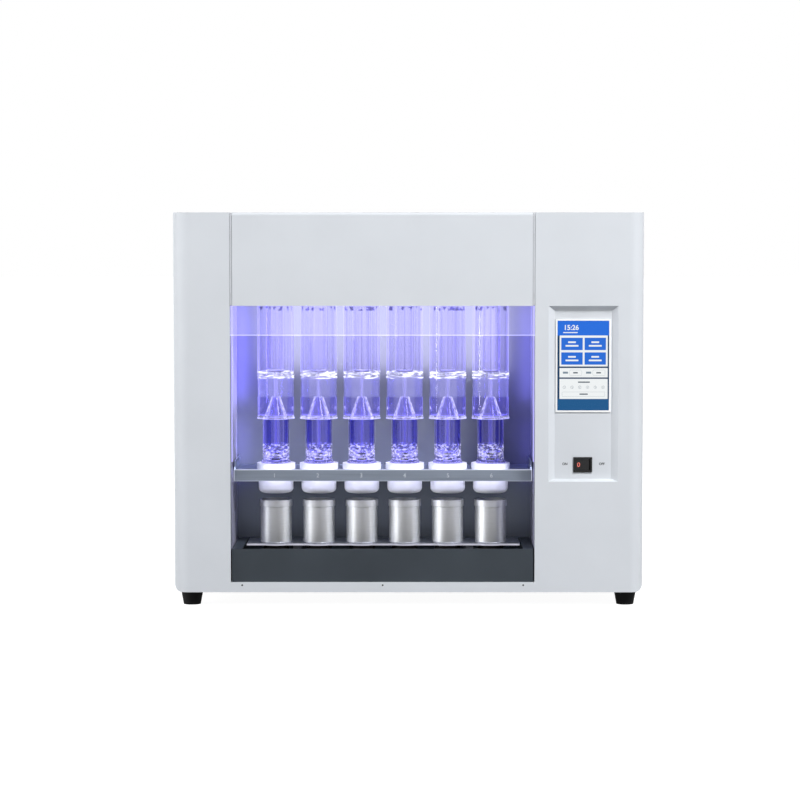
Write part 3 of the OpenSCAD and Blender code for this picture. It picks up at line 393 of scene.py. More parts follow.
def glass(name, glow, rim_glow, tint=GLASS_TINT, painted_glow_color=LED_VIOLET, streaks=0.0, bands=(), cone=None,
          shade_patches=None, deep=None):
    """Clear laboratory glass with a painted glow in the chamber's colour, brightest at its edges and in upright
    streaks that stand in for reflections.
    """
    s = Surface(name).set(Transmission_Weight=1.0, IOR=GLASS_IOR)
    ripple = s.noise(RIPPLE_GRAIN, 2.0)
    base = s.blend(ripple, scaled(tint, RIPPLE_DARKER), tint)
    if deep:
        above = s.span(s.height(), deep.level - BAND_EDGE, deep.level + BAND_EDGE, 0.0, 1.0)
        base = s.blend(above, deep.tint, base)
    s.bump(ripple, RIPPLE_DEPTH, RIPPLE_STRENGTH)
    facing = s.node("ShaderNodeLayerWeight", Blend=0.5).outputs["Facing"]
    light = s.span(facing, *EDGE_ON, glow, rim_glow)
    rough = s.span(ripple, *NOISE_RANGE, 0.0, RIPPLE_ROUGH)
    color = painted_glow_color
    if streaks:
        streak = s.span(s.noise(STREAK_GRAIN, 1.5), *STREAK_RANGE, 0.0, 1.0, smooth=True)
        light = s.calc("MULTIPLY_ADD", streak, streaks, light)
        color = s.blend(streak, color, STREAK_PALE)
    for band in bands:
        inside = s.between(s.height(), band.low, band.high, BAND_EDGE)
        dull = band.glow * (1 - band.glint)
        bright = band.glow * (1 + GLINT_GAIN * band.glint)
        sparkle = s.span(s.noise(band.grain, 2.0), *GLINT_RANGE, dull, bright)
        hazy = s.span(ripple, *NOISE_RANGE, 0.8 * band.rough, 1.2 * band.rough)
        light = s.between_values(inside, light, sparkle)
        rough = s.between_values(inside, rough, hazy)
        color = s.blend(inside, color, band.color)
    if cone:
        near_axis = s.between(s.off_station(), -cone.radius, cone.radius, CONE_EDGE)
        on_cone = s.calc("MULTIPLY", near_axis, s.between(s.height(), cone.low, cone.high, BAND_EDGE))
        flank = s.span(facing, *CONE_FACING, 0.0, CONE_GLOW, smooth=True)
        speckle = s.span(s.noise(CONE_GRAIN, 1.0), *CONE_NOISE_RANGE, *CONE_SPECKLE)
        light = s.between_values(on_cone, light, s.calc("MULTIPLY", flank, speckle))
        color = s.blend(on_cone, color, CONE_PALE)
    if shade_patches:
        at_height = s.between(s.height(), shade_patches.low, shade_patches.high, SHADE_PATCH_EDGE)
        patches = s.span(s.noise(SHADE_PATCH_GRAIN, 0.5), *SHADE_PATCH_RANGE, 0.0, 1.0, smooth=True)
        in_front = s.span(s.axis("Y"), SHADE_PATCH_FRONT, SHADE_PATCH_BACK, 1.0, 0.0)
        dark = s.calc("MULTIPLY", s.calc("MULTIPLY", at_height, patches), in_front)
        base = s.blend(dark, base, SHADE_PATCH_BLUE)
        light = s.between_values(dark, light, 0.0)
    if isinstance(color, tuple):
        s.set(Emission_Color=(*color, 1.0))
    else:
        s.drive(color, "Emission Color")
    s.drive(base, "Base Color")
    s.drive(light, "Emission Strength")
    s.drive(rough, "Roughness")
    return lets_lamps_through(s)


CELL_GRAIN = (600, 600, 600)
CELL_DARKER = 0.94
CELL_ROUGH = (0.20, 0.30)


def lit(name, color, strength):
    """A lit surface behind a clear cover: a faint cell structure and its own light."""
    s = Surface(name)
    s.set(Base_Color=(*SCREEN_COVER, 1.0), Emission_Strength=strength, Specular_IOR_Level=0.12)
    cells = s.noise(CELL_GRAIN, 1.0)
    s.drive(s.blend(cells, scaled(color, CELL_DARKER), color), "Emission Color")
    s.drive(s.span(cells, *NOISE_RANGE, *CELL_ROUGH), "Roughness")
    return s.mat


SASH_IOR = 1.2
SASH_GRAIN = (14, 14, 14)
SASH_ROUGH = (0.01, 0.04)
SASH_EDGE_GLOW = 0.32
SASH_SHEET_GLOW = 0.085


def sash_acrylic():
    """Clear sheet with a painted glow along its sawn lower edge and a fainter one over the whole sheet."""
    s = Surface("clear_acrylic")
    s.set(Transmission_Weight=1.0, IOR=SASH_IOR, Emission_Color=(*SASH_EDGE, 1.0))
    haze = s.noise(SASH_GRAIN, 3.0)
    s.drive(s.blend(haze, SASH_HAZE, SASH_CLEAR), "Base Color")
    s.drive(s.span(haze, *NOISE_RANGE, *SASH_ROUGH), "Roughness")
    edge = (sash_foot + 1.0 * MM, sash_foot + 1.8 * MM)
    s.drive(s.span(s.height(), *edge, SASH_EDGE_GLOW, SASH_SHEET_GLOW), "Emission Strength")
    return lets_lamps_through(s)


# One look for each material slot of the record, apart from the glass, whose nodes have their own below
MATERIALS = {
    "white_paint": coated("white_paint", WHITE_PAINT, 0.5, vary=0.02, level_rough=0.95,
                          Specular_IOR_Level=0.3),
    "chamber_sheet": coated("chamber_sheet", CHAMBER_GREY, 0.45),
    "shelf_sheet": metal("shelf_sheet", SHELF_GREY, 0.45, (6, 6, 500), paint_highlight=lip_painted_highlight),
    "tray_paint": coated("tray_paint", TRAY_SLATE, 0.42, vary=0.10, Coat_Weight=0.05, Coat_Roughness=0.25),
    "white_ptfe": coated("white_ptfe", FLUOROPOLYMER, 0.40, vary=0.03, patch=(30, 30, 400), peel=500.0),
    "cup_metal": metal("cup_metal", CUP_METAL, 0.55, (40, 40, 900), vary=0.04, rough_spread=0.05,
                       turned=True),
    "plate_metal": metal("plate_metal", PLATE_METAL, 0.36, (8, 300, 300)),
    "steel": metal("steel", STEEL, 0.28, (60, 60, 400)),
    "brass": metal("brass", BRASS, 0.30, (200, 20, 200)),
    "foot_rubber": coated("foot_rubber", RUBBER_BLACK, 0.7, vary=0.25, patch=(60, 60, 60), peel=1500.0,
                          Specular_IOR_Level=0.2),
    "hose_rubber": coated("hose_rubber", HOSE_CLEAR, 0.35, vary=0.06, Transmission_Weight=0.3),
    "black_plastic": coated("black_plastic", PLASTIC_BLACK, 0.34, vary=0.30, patch=(80, 80, 80),
                            peel=1800.0),
    "bezel_plastic": coated("bezel_plastic", BEZEL_WHITE, 0.22, vary=0.02, Coat_Weight=0.4,
                            Coat_Roughness=0.1),
    "screen": lit("screen", SCREEN_NAVY, 1.0),
    "circuit_board": coated("circuit_board", BOARD_GREEN, 0.35, vary=0.35, patch=(220, 220, 220)),
    "led_diffuser": lit("led_diffuser", LED_PALE, 1.0),
    "heater_pad": coated("heater_pad", HEATER_DARK, 0.6, vary=0.15, patch=(90, 90, 90)),
    "motor_paint": coated("motor_paint", MOTOR_BLACK, 0.4, vary=0.2),
    "clear_acrylic": sash_acrylic(),
}

# The glasses' bands of painted glow and glints, from the bottom up: glints on the tube's floor, bowl foot, frosted
# bowl, condenser collar
bowl_foot = bowl_low.z
bowl_middle = bowl_foot + 37 * MM
bowl_top = bowl_high.z
BOWL_GRAIN = (120, 120, 192)
tube_floor_glints = Band(tube_foot + 6 * MM, tube_foot + 33 * MM, 0.015, 0.085, FLOOR_GLINT_PALE, (200, 200, 300), 1.0)
foot_ring = Band(bowl_foot, bowl_foot + 4 * MM, 0.05, 0.13, EDGE_PALE, BOWL_GRAIN, 0.5)
frosted = Band(bowl_middle, bowl_top, 0.14, 0.075, FROST_GLOW_BLUE, BOWL_GRAIN, 0.0)
collar = Band(bowl_top, bowl_top + 12 * MM, 0.08, 0.14, COLLAR_PALE, (55, 55, 300), 0.75)
vapour_cone = Cone(19.2 * MM, bowl_foot + 5 * MM, bowl_middle)
bowl_deep = Deep(bowl_middle, BOWL_DEEP_TINT)
jacket_sight = lid_low.z - 3 * MM
# Painted shade: dark patches on the jackets just under the apron
cap_shade_patches = ShadePatches(jacket_sight - 7 * MM, jacket_sight)

# Nodes whose look departs from their slot's
NODE_MATERIALS = {
    "solvent_bowls": glass("bowl_glass", 0.03, 1.0, bands=[frosted, foot_ring], cone=vapour_cone,
                           deep=bowl_deep),
    "condenser_jackets": glass("jacket_glass", 0.01, 1.0, streaks=0.09, bands=[collar], shade_patches=cap_shade_patches),
    "condenser_cores": glass("core_glass", 0.005, 1.0, streaks=0.07),
    "extraction_tubes": glass("tube_glass", 0.0, 0.35, tint=TUBE_TINT, streaks=0.07, bands=[tube_floor_glints]),
    "drip_tubes": glass("drip_glass", 0.05, 0.50, painted_glow_color=STREAK_PALE),
    "chamber_side_walls": coated("side_sheet", SIDE_WALL_GREY_LED_TINT, 0.45),
    "condenser_caps": coated("cap_plastic", CAP_WHITE, 0.45, vary=0.03, patch=(30, 30, 400), peel=500.0),
    "heating_plate": metal("hot_plate", PLATE_METAL, 0.36, (8, 300, 300), paint_highlight=plate_painted_highlight),
    "sill_screws": metal("screw_dark", SCREW_DARK, 0.45, (300, 300, 300)),
}

for part in frame["record"]["subparts"]:
    name = part["node"]
    made = NODE_MATERIALS.get(name) or MATERIALS[part["material_slot"]]
    mesh = nodes[name].data
    mesh.materials.clear()
    mesh.materials.append(made)

# Sheet metal, moulded pieces and glass rims get a small edge radius, in mm
EDGE_RADIUS = {
    "left_cover": 0.8, "right_cover": 0.8, "top_cover": 0.8, "base_pan": 0.8, "rear_panel": 0.5, "lid": 0.8,
    "shelf": 1.1, "heater_tray": 0.8, "heating_plate": 0.8, "display_bezel": 0.6, "switch_housing": 0.5,
    "power_rocker": 0.4, "power_inlet": 0.5, "seat_flanges": 0.8, "seal_bells": 0.5, "condenser_caps": 0.8,
    "feet": 1.0, "sash_panel": 0.4, "lift_carriage": 0.8, "lift_arms": 0.8, "power_supply": 0.8,
    "chamber_side_walls": 0.4, "condenser_rail": 0.4, "extraction_tubes": 0.6, "condenser_jackets": 0.5,
}
EDGE_ANGLE = math.radians(40)
for name, radius in EDGE_RADIUS.items():
    bevel = nodes[name].modifiers.new("edge", "BEVEL")
    bevel.width = radius * MM
    bevel.segments = 2
    bevel.limit_method = "ANGLE"
    bevel.angle_limit = EDGE_ANGLE
    bevel.harden_normals = False


# Added pieces


def piece(name, mesh_or_curve, mat):
    obj = bpy.data.objects.new(name, mesh_or_curve)
    scene.collection.objects.link(obj)
    mesh_or_curve.materials.append(mat)
    return obj


def settle(obj, body):
    """Fixes a piece that is in its place to its body."""
    bpy.context.view_layer.update()
    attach(obj, body)


LEAST_RADIUS = 1e-5


def round_outline(width, height, radius, corner_steps):
    """The points of a rectangle with round corners, centred on the origin."""
    points = []
    for sx, sz, start in ((1, 1, 0), (-1, 1, 90), (-1, -1, 180), (1, -1, 270)):
        for k in range(corner_steps + 1):
            angle = math.radians(start + 90 * k / corner_steps)
            x = sx * (width / 2 - radius) + radius * math.cos(angle)
            z = sz * (height / 2 - radius) + radius * math.sin(angle)
            points.append((x, z))
    return points


def plate_mesh(name, width, height, radius, thickness, corner_steps=5, border=0.0):
    """A flat plate with round corners that faces -Y, centred on the origin.

    With a border, it is a frame that wide.
    """
    mesh = bpy.data.meshes.new(name)
    bm = bmesh.new()

    def ring(outline, y):
        return [bm.verts.new((x, y, z)) for x, z in outline]

    outer = round_outline(width, height, radius, corner_steps)
    outer_front = ring(outer, -thickness)
    outer_back = ring(outer, 0.0)
    if border:
        inner_radius = max(radius - border, LEAST_RADIUS)
        inner = round_outline(width - 2 * border, height - 2 * border, inner_radius, corner_steps)
        inner_front = ring(inner, -thickness)
        inner_back = ring(inner, 0.0)
    count = len(outer)
    for i in range(count):
        j = (i + 1) % count
        bm.faces.new((outer_front[i], outer_front[j], outer_back[j], outer_back[i]))
        if border:
            bm.faces.new((inner_front[j], inner_front[i], inner_back[i], inner_back[j]))
            bm.faces.new((outer_front[j], outer_front[i], inner_front[i], inner_front[j]))
            bm.faces.new((outer_back[i], outer_back[j], inner_back[j], inner_back[i]))
    if not border:
        bm.faces.new(list(reversed(outer_front)))
        bm.faces.new(outer_back)
    bmesh.ops.recalc_face_normals(bm, faces=bm.faces)
    bm.to_mesh(mesh)
    bm.free()
    return mesh


PRINT_THICKNESS = 0.05 * MM
FACING_FRONT = Matrix.Rotation(math.radians(90), 4, "X")


def label(name, text, size, place, mat, bold=0.0):
    """Raised print on the housing that faces the front.

    A bold print's strokes grow by that width on each side.
    """
    curve = bpy.data.curves.new(name, "FONT")
    curve.body = text
    curve.size = size
    curve.align_x = "CENTER"
    curve.align_y = "CENTER"
    curve.extrude = PRINT_THICKNESS
    curve.offset = bold
    obj = piece(name, curve, mat)
    obj.matrix_world = Matrix.Translation(place) @ FACING_FRONT
    settle(obj, "housing")


# Touch screen, laid out in parts of its width and height from the lower left corner
SCREEN_W = screen_high.x - screen_low.x
SCREEN_H = screen_high.z - screen_low.z
LAYER = 0.08 * MM
UI_CORNER = 0.6 * MM
UI_SHARP_CORNER = 0.1 * MM
UI_WORD_CORNER = 0.4 * MM
UI_LINE = 0.25 * MM

ui_materials = {
    "header": lit("ui_header", SCREEN_HEADER, 1.0),
    "tile": lit("ui_tile", SCREEN_TILE, 1.0),
    "band": lit("ui_band", SCREEN_BAND, 1.0),
    "white": lit("ui_white", SCREEN_WHITE, 0.95),
    "line": lit("ui_line", SCREEN_LINE, 0.9),
    "text": lit("ui_text", SCREEN_TEXT, 0.9),
}


def screen_place(u, v, layer):
    return Vector((screen_low.x + u * SCREEN_W, screen_low.y - layer * LAYER, screen_low.z + v * SCREEN_H))


def screen_plate(name, kind, u0, v0, u1, v1, layer, radius=UI_CORNER, border=0.0):
    mesh = plate_mesh(name, (u1 - u0) * SCREEN_W, (v1 - v0) * SCREEN_H, radius, LAYER, border=border)
    obj = piece(name, mesh, ui_materials[kind])
    obj.location = screen_place((u0 + u1) / 2, (v0 + v1) / 2, layer - 1)
    settle(obj, "housing")


PANEL_LEFT = 0.040
PANEL_RIGHT = 0.976
screen_plate("ui_header_band", "header", 0.0, 0.835, 1.0, 1.0, 1, radius=UI_SHARP_CORNER)
screen_plate("ui_lower_band", "band", 0.0, 0.0, 1.0, 0.125, 1, radius=UI_SHARP_CORNER)

# Four tiles, each with two bars in place of words: half length and height above the tile's foot
TILE_COLUMNS = ((0.072, 0.489), (0.525, 0.940))
TILE_ROWS = ((0.510, 0.648), (0.673, 0.811))
TILE_BARS = ((0.075, 0.088), (0.125, 0.048))
BAR_HALF_HEIGHT = 0.009
screen_plate("ui_tile_panel", "white", PANEL_LEFT, 0.490, PANEL_RIGHT, 0.836, 2, radius=0.8 * MM)
for column, (u0, u1) in enumerate(TILE_COLUMNS):
    for row, (v0, v1) in enumerate(TILE_ROWS):
        tile = "ui_tile_%d_%d" % (row, column)
        screen_plate(tile, "tile", u0, v0, u1, v1, 3)
        middle = (u0 + u1) / 2
        for line, (half, rise) in enumerate(TILE_BARS):
            bar_foot = v0 + rise - BAR_HALF_HEIGHT
            bar_top = v0 + rise + BAR_HALF_HEIGHT
            screen_plate("%s_word_%d" % (tile, line), "white", middle - half, bar_foot,
                         middle + half, bar_top, 4, radius=0.5 * MM)

# Two fields, each with its name in front and a value inside
FIELD_STARTS = (0.105, 0.555)
screen_plate("ui_field_panel", "white", PANEL_LEFT, 0.368, PANEL_RIGHT, 0.473, 2)
for side, u in enumerate(FIELD_STARTS):
    screen_plate("ui_field_name_%d" % side, "line", u, 0.410, u + 0.10, 0.432, 3, radius=UI_WORD_CORNER)
    screen_plate("ui_field_%d" % side, "line", u + 0.13, 0.388, u + 0.37, 0.452, 3, radius=2 * MM,
                 border=UI_LINE)
    screen_plate("ui_field_value_%d" % side, "text", u + 0.20, 0.412, u + 0.29, 0.427, 3,
                 radius=UI_WORD_CORNER)

# Six numbered rings under a title
RING_FIRST = 0.133
RING_PITCH = 0.1506
RING_HEIGHT = 0.258
RING_RADIUS = 2.5 * MM
RING_CORNER = 0.999 * RING_RADIUS
RING_LINE = 0.4 * MM
RING_STEPS = 8
RING_NUMBER = 3.2 * MM
screen_plate("ui_station_panel", "white", PANEL_LEFT, 0.127, PANEL_RIGHT, 0.352, 2)
screen_plate("ui_station_title", "text", 0.40, 0.308, 0.63, 0.322, 3, radius=UI_WORD_CORNER)
for i in range(STATIONS):
    u = RING_FIRST + i * RING_PITCH
    name = "ui_station_ring_%d" % (i + 1)
    mesh = plate_mesh(name, 2 * RING_RADIUS, 2 * RING_RADIUS, RING_CORNER, LAYER, RING_STEPS,
                      border=RING_LINE)
    obj = piece(name, mesh, ui_materials["line"])
    obj.location = screen_place(u, RING_HEIGHT, 2)
    settle(obj, "housing")
    number_place = screen_place(u, RING_HEIGHT, 2.4)
    label("ui_station_number_%d" % (i + 1), str(i + 1), RING_NUMBER, number_place,
          ui_materials["text"])

# A button, and a clock over a bar in place of the date
CLOCK_SIZE = 11.5 * MM
CLOCK_BOLD = 0.25 * MM
clock_place = screen_place(0.265, 0.922, 1.4)
screen_plate("ui_button", "line", 0.09, 0.154, 0.92, 0.206, 3, radius=1.0 * MM, border=UI_LINE)
screen_plate("ui_button_word", "text", 0.43, 0.174, 0.59, 0.188, 3, radius=UI_WORD_CORNER)
label("ui_clock", "15:26", CLOCK_SIZE, clock_place, ui_materials["white"], bold=CLOCK_BOLD)
screen_plate("ui_date", "white", 0.11, 0.863, 0.39, 0.874, 2, radius=0.3 * MM)

# Print, and the marks beside the switch
print_dark = coated("print_dark", PRINT_GREY, 0.6, vary=0.15, patch=(400, 400, 400))
print_pale = coated("print_pale", LIP_PRINT, 0.5, vary=0.1, patch=(300, 300, 300))
mark_red = coated("rocker_mark", ROCKER_MARK, 0.4, vary=0.1, patch=(300, 300, 300),
                  Emission_Color=(*ROCKER_MARK_GLOW, 1.0), Emission_Strength=0.25)

LABEL_LIFT = 0.06 * MM
SWITCH_PRINT = 5.5 * MM
SWITCH_BOLD = 0.18 * MM
ON_OFFSET = -30 * MM
OFF_OFFSET = 32 * MM
switch_x = (switch_low.x + switch_high.x) / 2
switch_print_z = (switch_low.z + switch_high.z) / 2 + 1 * MM
for name, text, offset in (("switch_on_mark", "ON", ON_OFFSET), ("switch_off_mark", "OFF", OFF_OFFSET)):
    place = Vector((switch_x + offset, panel_y - LABEL_LIFT, switch_print_z))
    label(name, text, SWITCH_PRINT, place, print_dark, bold=SWITCH_BOLD)

# The ring on the rocker's pressed wing, from the tilt and the form of the CAD rocker
ROCKER_TILT = math.radians(8)
ROCKER_RIDGE = 6 * MM
WING_SLOPE = math.atan2(1.6, 11.5)
WING_MARK_OFFSET = 6.2 * MM
WING_MARK_W = 4.6 * MM
WING_MARK_H = 7.2 * MM
WING_MARK_CORNER = 2.28 * MM
WING_MARK_LINE = 1.1 * MM
WING_MARK_THICKNESS = 0.12 * MM
WING_MARK_LIFT = 0.02 * MM
rocker_axis = Vector(next(j for j in frame["joints"] if j["name"] == "power_switch")["pos_m"])
wing_y = -ROCKER_RIDGE - WING_MARK_OFFSET * math.tan(WING_SLOPE) - WING_MARK_LIFT
wing_place = Matrix.Translation(Vector((-WING_MARK_OFFSET, wing_y, 0)))
mesh = plate_mesh("rocker_mark", WING_MARK_W, WING_MARK_H, WING_MARK_CORNER, WING_MARK_THICKNESS, 8,
                  border=WING_MARK_LINE)
obj = piece("rocker_mark", mesh, mark_red)
obj.matrix_world = (Matrix.Translation(rocker_axis) @ Matrix.Rotation(-ROCKER_TILT, 4, "Z")
                    @ wing_place @ Matrix.Rotation(WING_SLOPE, 4, "Z"))
settle(obj, "rocker_body")

# Station numbers on the shelf's lip
LIP_PRINT_HEIGHT = 9.5 * MM
LIP_PRINT_SIZE = 10 * MM
for i, station in enumerate(STATION_PLACES):
    place = Vector((station.x, shelf_low.y - LABEL_LIFT, shelf_low.z + LIP_PRINT_HEIGHT))
    label("station_number_%d" % (i + 1), str(i + 1), LIP_PRINT_SIZE, place, print_pale)

# Pale trim in the two seams between the lid's apron and the columns
seam_trim = coated("seam_trim", SEAM_GREY, 0.6, vary=0.06, patch=(40, 40, 40))
TRIM_W = 3.0 * MM
TRIM_DEPTH = 2.0 * MM
TRIM_SETBACK = 0.9 * MM
TRIM_GAP = 0.5 * MM
TRIM_CORNER = 0.4 * MM
trim_low = lid_low.z + 1 * MM
trim_high = lid_high.z - 1 * MM
trim_left = lid_low.x - TRIM_W / 2 - TRIM_GAP
trim_right = lid_high.x + TRIM_W / 2 + TRIM_GAP
for name, x in (("seam_trim_left", trim_left), ("seam_trim_right", trim_right)):
    mesh = plate_mesh(name, TRIM_W, trim_high - trim_low, TRIM_CORNER, TRIM_DEPTH, 3)
    obj = piece(name, mesh, seam_trim)
    obj.location = (x, lid_low.y + TRIM_SETBACK + TRIM_DEPTH, (trim_low + trim_high) / 2)
    settle(obj, "housing")

# Dark outlet plugs that show through the tubes' floors
plug_dark = coated("outlet_plug", PLASTIC_BLACK, 0.45, vary=0.3, patch=(150, 150, 150))
PLUG_FOOT_RADIUS = 7.6 * MM
PLUG_TOP_RADIUS = 6.6 * MM
PLUG_HEIGHT = 6 * MM
PLUG_EDGE = 0.6 * MM
PLUG_EDGE_ANGLE = 0.8
PLUG_RISE = 7.5 * MM
for i, station in enumerate(STATION_PLACES):
    name = "outlet_plug_%d" % (i + 1)
    mesh = bpy.data.meshes.new(name)
    bm = bmesh.new()
    bmesh.ops.create_cone(bm, cap_ends=True, segments=32, radius1=PLUG_FOOT_RADIUS, radius2=PLUG_TOP_RADIUS,
                          depth=PLUG_HEIGHT)
    sharp = [edge for edge in bm.edges if edge.is_manifold and edge.calc_face_angle() > PLUG_EDGE_ANGLE]
    bmesh.ops.bevel(bm, geom=sharp, offset=PLUG_EDGE, segments=2, affect="EDGES")
    bm.to_mesh(mesh)
    bm.free()
    obj = piece(name, mesh, plug_dark)
    obj.location = (station.x, station.y, tube_foot + PLUG_RISE)
    settle(obj, "housing")


# Stage

ROOM_LEVEL = 0.22
FRONT_DIM = 0.74
FLOOR_HALF = 30.0
FLOOR_SEEN = 0.955
FLOOR_DIM_FROM = 0.25
FLOOR_DIM_TO = 0.85
WORLD_DIM_FROM = -0.9
WORLD_DIM_TO = -0.5


def seen_directly(tree):
    """1 for camera, glossy and transmission rays."""
    path = tree.nodes.new("ShaderNodeLightPath")
    total = path.outputs["Is Camera Ray"]
    for other in ("Is Glossy Ray", "Is Transmission Ray"):
        highest = tree.nodes.new("ShaderNodeMath")
        highest.operation = "MAXIMUM"
        tree.links.new(total, highest.inputs[0])
        tree.links.new(path.outputs[other], highest.inputs[1])
        total = highest.outputs["Value"]
    return total


def studio_floor():
    """A pale floor that is white to the camera and keeps the object's shadow.

    To reflections a lane down its middle is darker.
    """
    mesh = bpy.data.meshes.new("floor")
    half = FLOOR_HALF
    corners = [(-half, -half, 0), (half, -half, 0), (half, half, 0), (-half, half, 0)]
    mesh.from_pydata(corners, [], [(0, 1, 2, 3)])
    obj = bpy.data.objects.new("floor", mesh)
    scene.collection.objects.link(obj)
    s = Surface("floor").set(Roughness=0.9, Specular_IOR_Level=0.1, Emission_Color=(1, 1, 1, 1))
    path = s.tree.nodes.new("ShaderNodeLightPath")
    aside = s.calc("ABSOLUTE", s.axis("X"))
    lane = s.span(aside, FLOOR_DIM_FROM, FLOOR_DIM_TO, FRONT_DIM, 0.0, smooth=True)
    dim = s.calc("MULTIPLY", lane, path.outputs["Is Glossy Ray"])
    pale = s.blend(s.noise((2, 2, 2)), FLOOR_LOW, FLOOR_HIGH)
    s.drive(s.blend(dim, pale, FLOOR_DARK), "Base Color")
    seen = s.span(seen_directly(s.tree), 0.0, 1.0, 0.0, FLOOR_SEEN)
    s.drive(s.calc("MULTIPLY", seen, s.span(dim, 0.0, 1.0, 1.0, 0.0)), "Emission Strength")
    mesh.materials.append(s.mat)


def studio_world():
    """Soft white round light.

    To reflections the open end of the studio, in front of the object, is darker.
    """
    world = bpy.data.worlds.new("studio")
    scene.world = world
    world.use_nodes = True
    tree = world.node_tree
    tree.nodes.clear()
    out = tree.nodes.new("ShaderNodeOutputWorld")
    room = tree.nodes.new("ShaderNodeBackground")
    room.inputs["Color"].default_value = (*ROOM_WHITE, 1.0)
    room.inputs["Strength"].default_value = ROOM_LEVEL
    white = tree.nodes.new("ShaderNodeBackground")
    white.inputs["Color"].default_value = (1, 1, 1, 1)

    coords = tree.nodes.new("ShaderNodeTexCoord")
    split = tree.nodes.new("ShaderNodeSeparateXYZ")
    front = tree.nodes.new("ShaderNodeMapRange")
    front.interpolation_type = "SMOOTHSTEP"
    front.inputs["From Min"].default_value = WORLD_DIM_FROM
    front.inputs["From Max"].default_value = WORLD_DIM_TO
    front.inputs["To Min"].default_value = FRONT_DIM
    front.inputs["To Max"].default_value = 0.0
    path = tree.nodes.new("ShaderNodeLightPath")
    dim = tree.nodes.new("ShaderNodeMath")
    dim.operation = "MULTIPLY"
    level = tree.nodes.new("ShaderNodeMath")
    level.operation = "SUBTRACT"
    level.inputs[0].default_value = 1.0
    tree.links.new(coords.outputs["Generated"], split.inputs["Vector"])
    tree.links.new(split.outputs["Y"], front.inputs["Value"])
    tree.links.new(front.outputs["Result"], dim.inputs[0])
    tree.links.new(path.outputs["Is Glossy Ray"], dim.inputs[1])
    tree.links.new(dim.outputs["Value"], level.inputs[1])
    tree.links.new(level.outputs["Value"], white.inputs["Strength"])

    mix = tree.nodes.new("ShaderNodeMixShader")
    tree.links.new(seen_directly(tree), mix.inputs["Fac"])
    tree.links.new(room.outputs["Background"], mix.inputs[1])
    tree.links.new(white.outputs["Background"], mix.inputs[2])
    tree.links.new(mix.outputs["Shader"], out.inputs["Surface"])


studio_floor()
studio_world()


# Light


def area_light(name, place, target, size, power, color):
    """A lamp of a size (width, height) at a place, aimed at a target."""
    data = bpy.data.lights.new(name, "AREA")
    data.shape = "RECTANGLE"
    data.size, data.size_y = size
    data.energy = power
    data.color = color
    obj = bpy.data.objects.new(name, data)
    scene.collection.objects.link(obj)
    obj.location = place
    obj.rotation_euler = (Vector(target) - Vector(place)).to_track_quat("-Z", "Y").to_euler()
    return obj


# Studio lamps: place, target and size in metres, and power in watts
key = area_light("key", (2.2, -3.0, 3.4), (0, 0, 0.35), (1.2, 1.2), 226, LAMP_WHITE)
area_light("softbox_left", (-2.9, -2.2, 1.4), (0, 0, 0.45), (1.2, 2.3), 8, LAMP_COOL)
area_light("softbox_rear", (1.2, 3.0, 1.7), (0, 0, 0.35), (1.4, 1.4), 42, LAMP_WHITE)
area_light("rim_left", (-2.4, -0.5, 1.0), (-0.39, -0.15, 0.4), (0.5, 1.8), 38, LAMP_WHITE)

# Chamber lamps: the side strips' light to the front, the rear corners, their feet and the side walls
FRONT_POWER = 0.12
REAR_POWER = 0.08
FOOT_POWER = 0.022
SIDE_POWER = 0.09
SIDE_LAMP_SIZE = (0.10, 0.20)
SIDE_LAMP_GAP = 20 * MM
FRONT_TOE_OUT = 0.03
FRONT_THROW = 0.25
LEFT_SHARE = 1.25
RIGHT_SHARE = 0.72
STRIP_W = 0.012
STRIP_H = 0.17
WALL_GAP = 30 * MM
apron_low = lid_low.z
chamber_middle = (strip_low.x + strip_high.x) / 2
chamber_width = strip_high.x - strip_low.x
lamp_z = apron_low - STRIP_H / 2
foot_z = lamp_z - STRIP_H
front_y = strip_high.y - 4 * MM
rear_y = wall_front - WALL_GAP
left_x = strip_low.x + 6 * MM
right_x = strip_high.x - 6 * MM
for side, x, aim, share in (("left", left_x, 1, LEFT_SHARE), ("right", right_x, -1, RIGHT_SHARE)):
    front_aim = (x - FRONT_TOE_OUT * aim, strip_high.y + FRONT_THROW, lamp_z)
    area_light("chamber_front_" + side, (x, front_y, lamp_z), front_aim,
               (STRIP_W, STRIP_H), FRONT_POWER * share, LAMP_VIOLET)
    area_light("chamber_rear_" + side, (x, rear_y, lamp_z), (x, wall_front, lamp_z),
               (STRIP_W, STRIP_H), REAR_POWER * share, LAMP_VIOLET)
    area_light("chamber_foot_" + side, (x, rear_y, foot_z), (x, wall_front, foot_z),
               (STRIP_W, 0.6 * STRIP_H), FOOT_POWER * share, LAMP_VIOLET)
    side_place = Vector((x + SIDE_LAMP_GAP * aim, (strip_high.y + wall_front) / 2, lamp_z))
    area_light("chamber_side_" + side, side_place, side_place - Vector((aim, 0, 0)),
               SIDE_LAMP_SIZE, SIDE_POWER * share, LED_PALE)

# The bar behind the apron, and the light that the condensers throw on the wall behind them
TOP_POWER = 0.25
TOP_LAMP_H = 0.02
GLOW_POWER = 1.25
area_light("chamber_top", (chamber_middle, strip_low.y + 8 * MM, apron_low + 6 * MM),
           (chamber_middle, strip_low.y + 80 * MM, strip_low.z), (chamber_width, TOP_LAMP_H), TOP_POWER,
           LED_PALE)
glow_low = jacket_low.z + 8 * MM
glow_high = apron_low + 50 * MM
glow_x = (jacket_low.x + jacket_high.x) / 2
glow_z = (glow_low + glow_high) / 2
area_light("condenser_glow", (glow_x, wall_front - 28 * MM, glow_z), (glow_x, wall_front, glow_z),
           (jacket_high.x - jacket_low.x, glow_high - glow_low), GLOW_POWER, LAMP_LILAC)

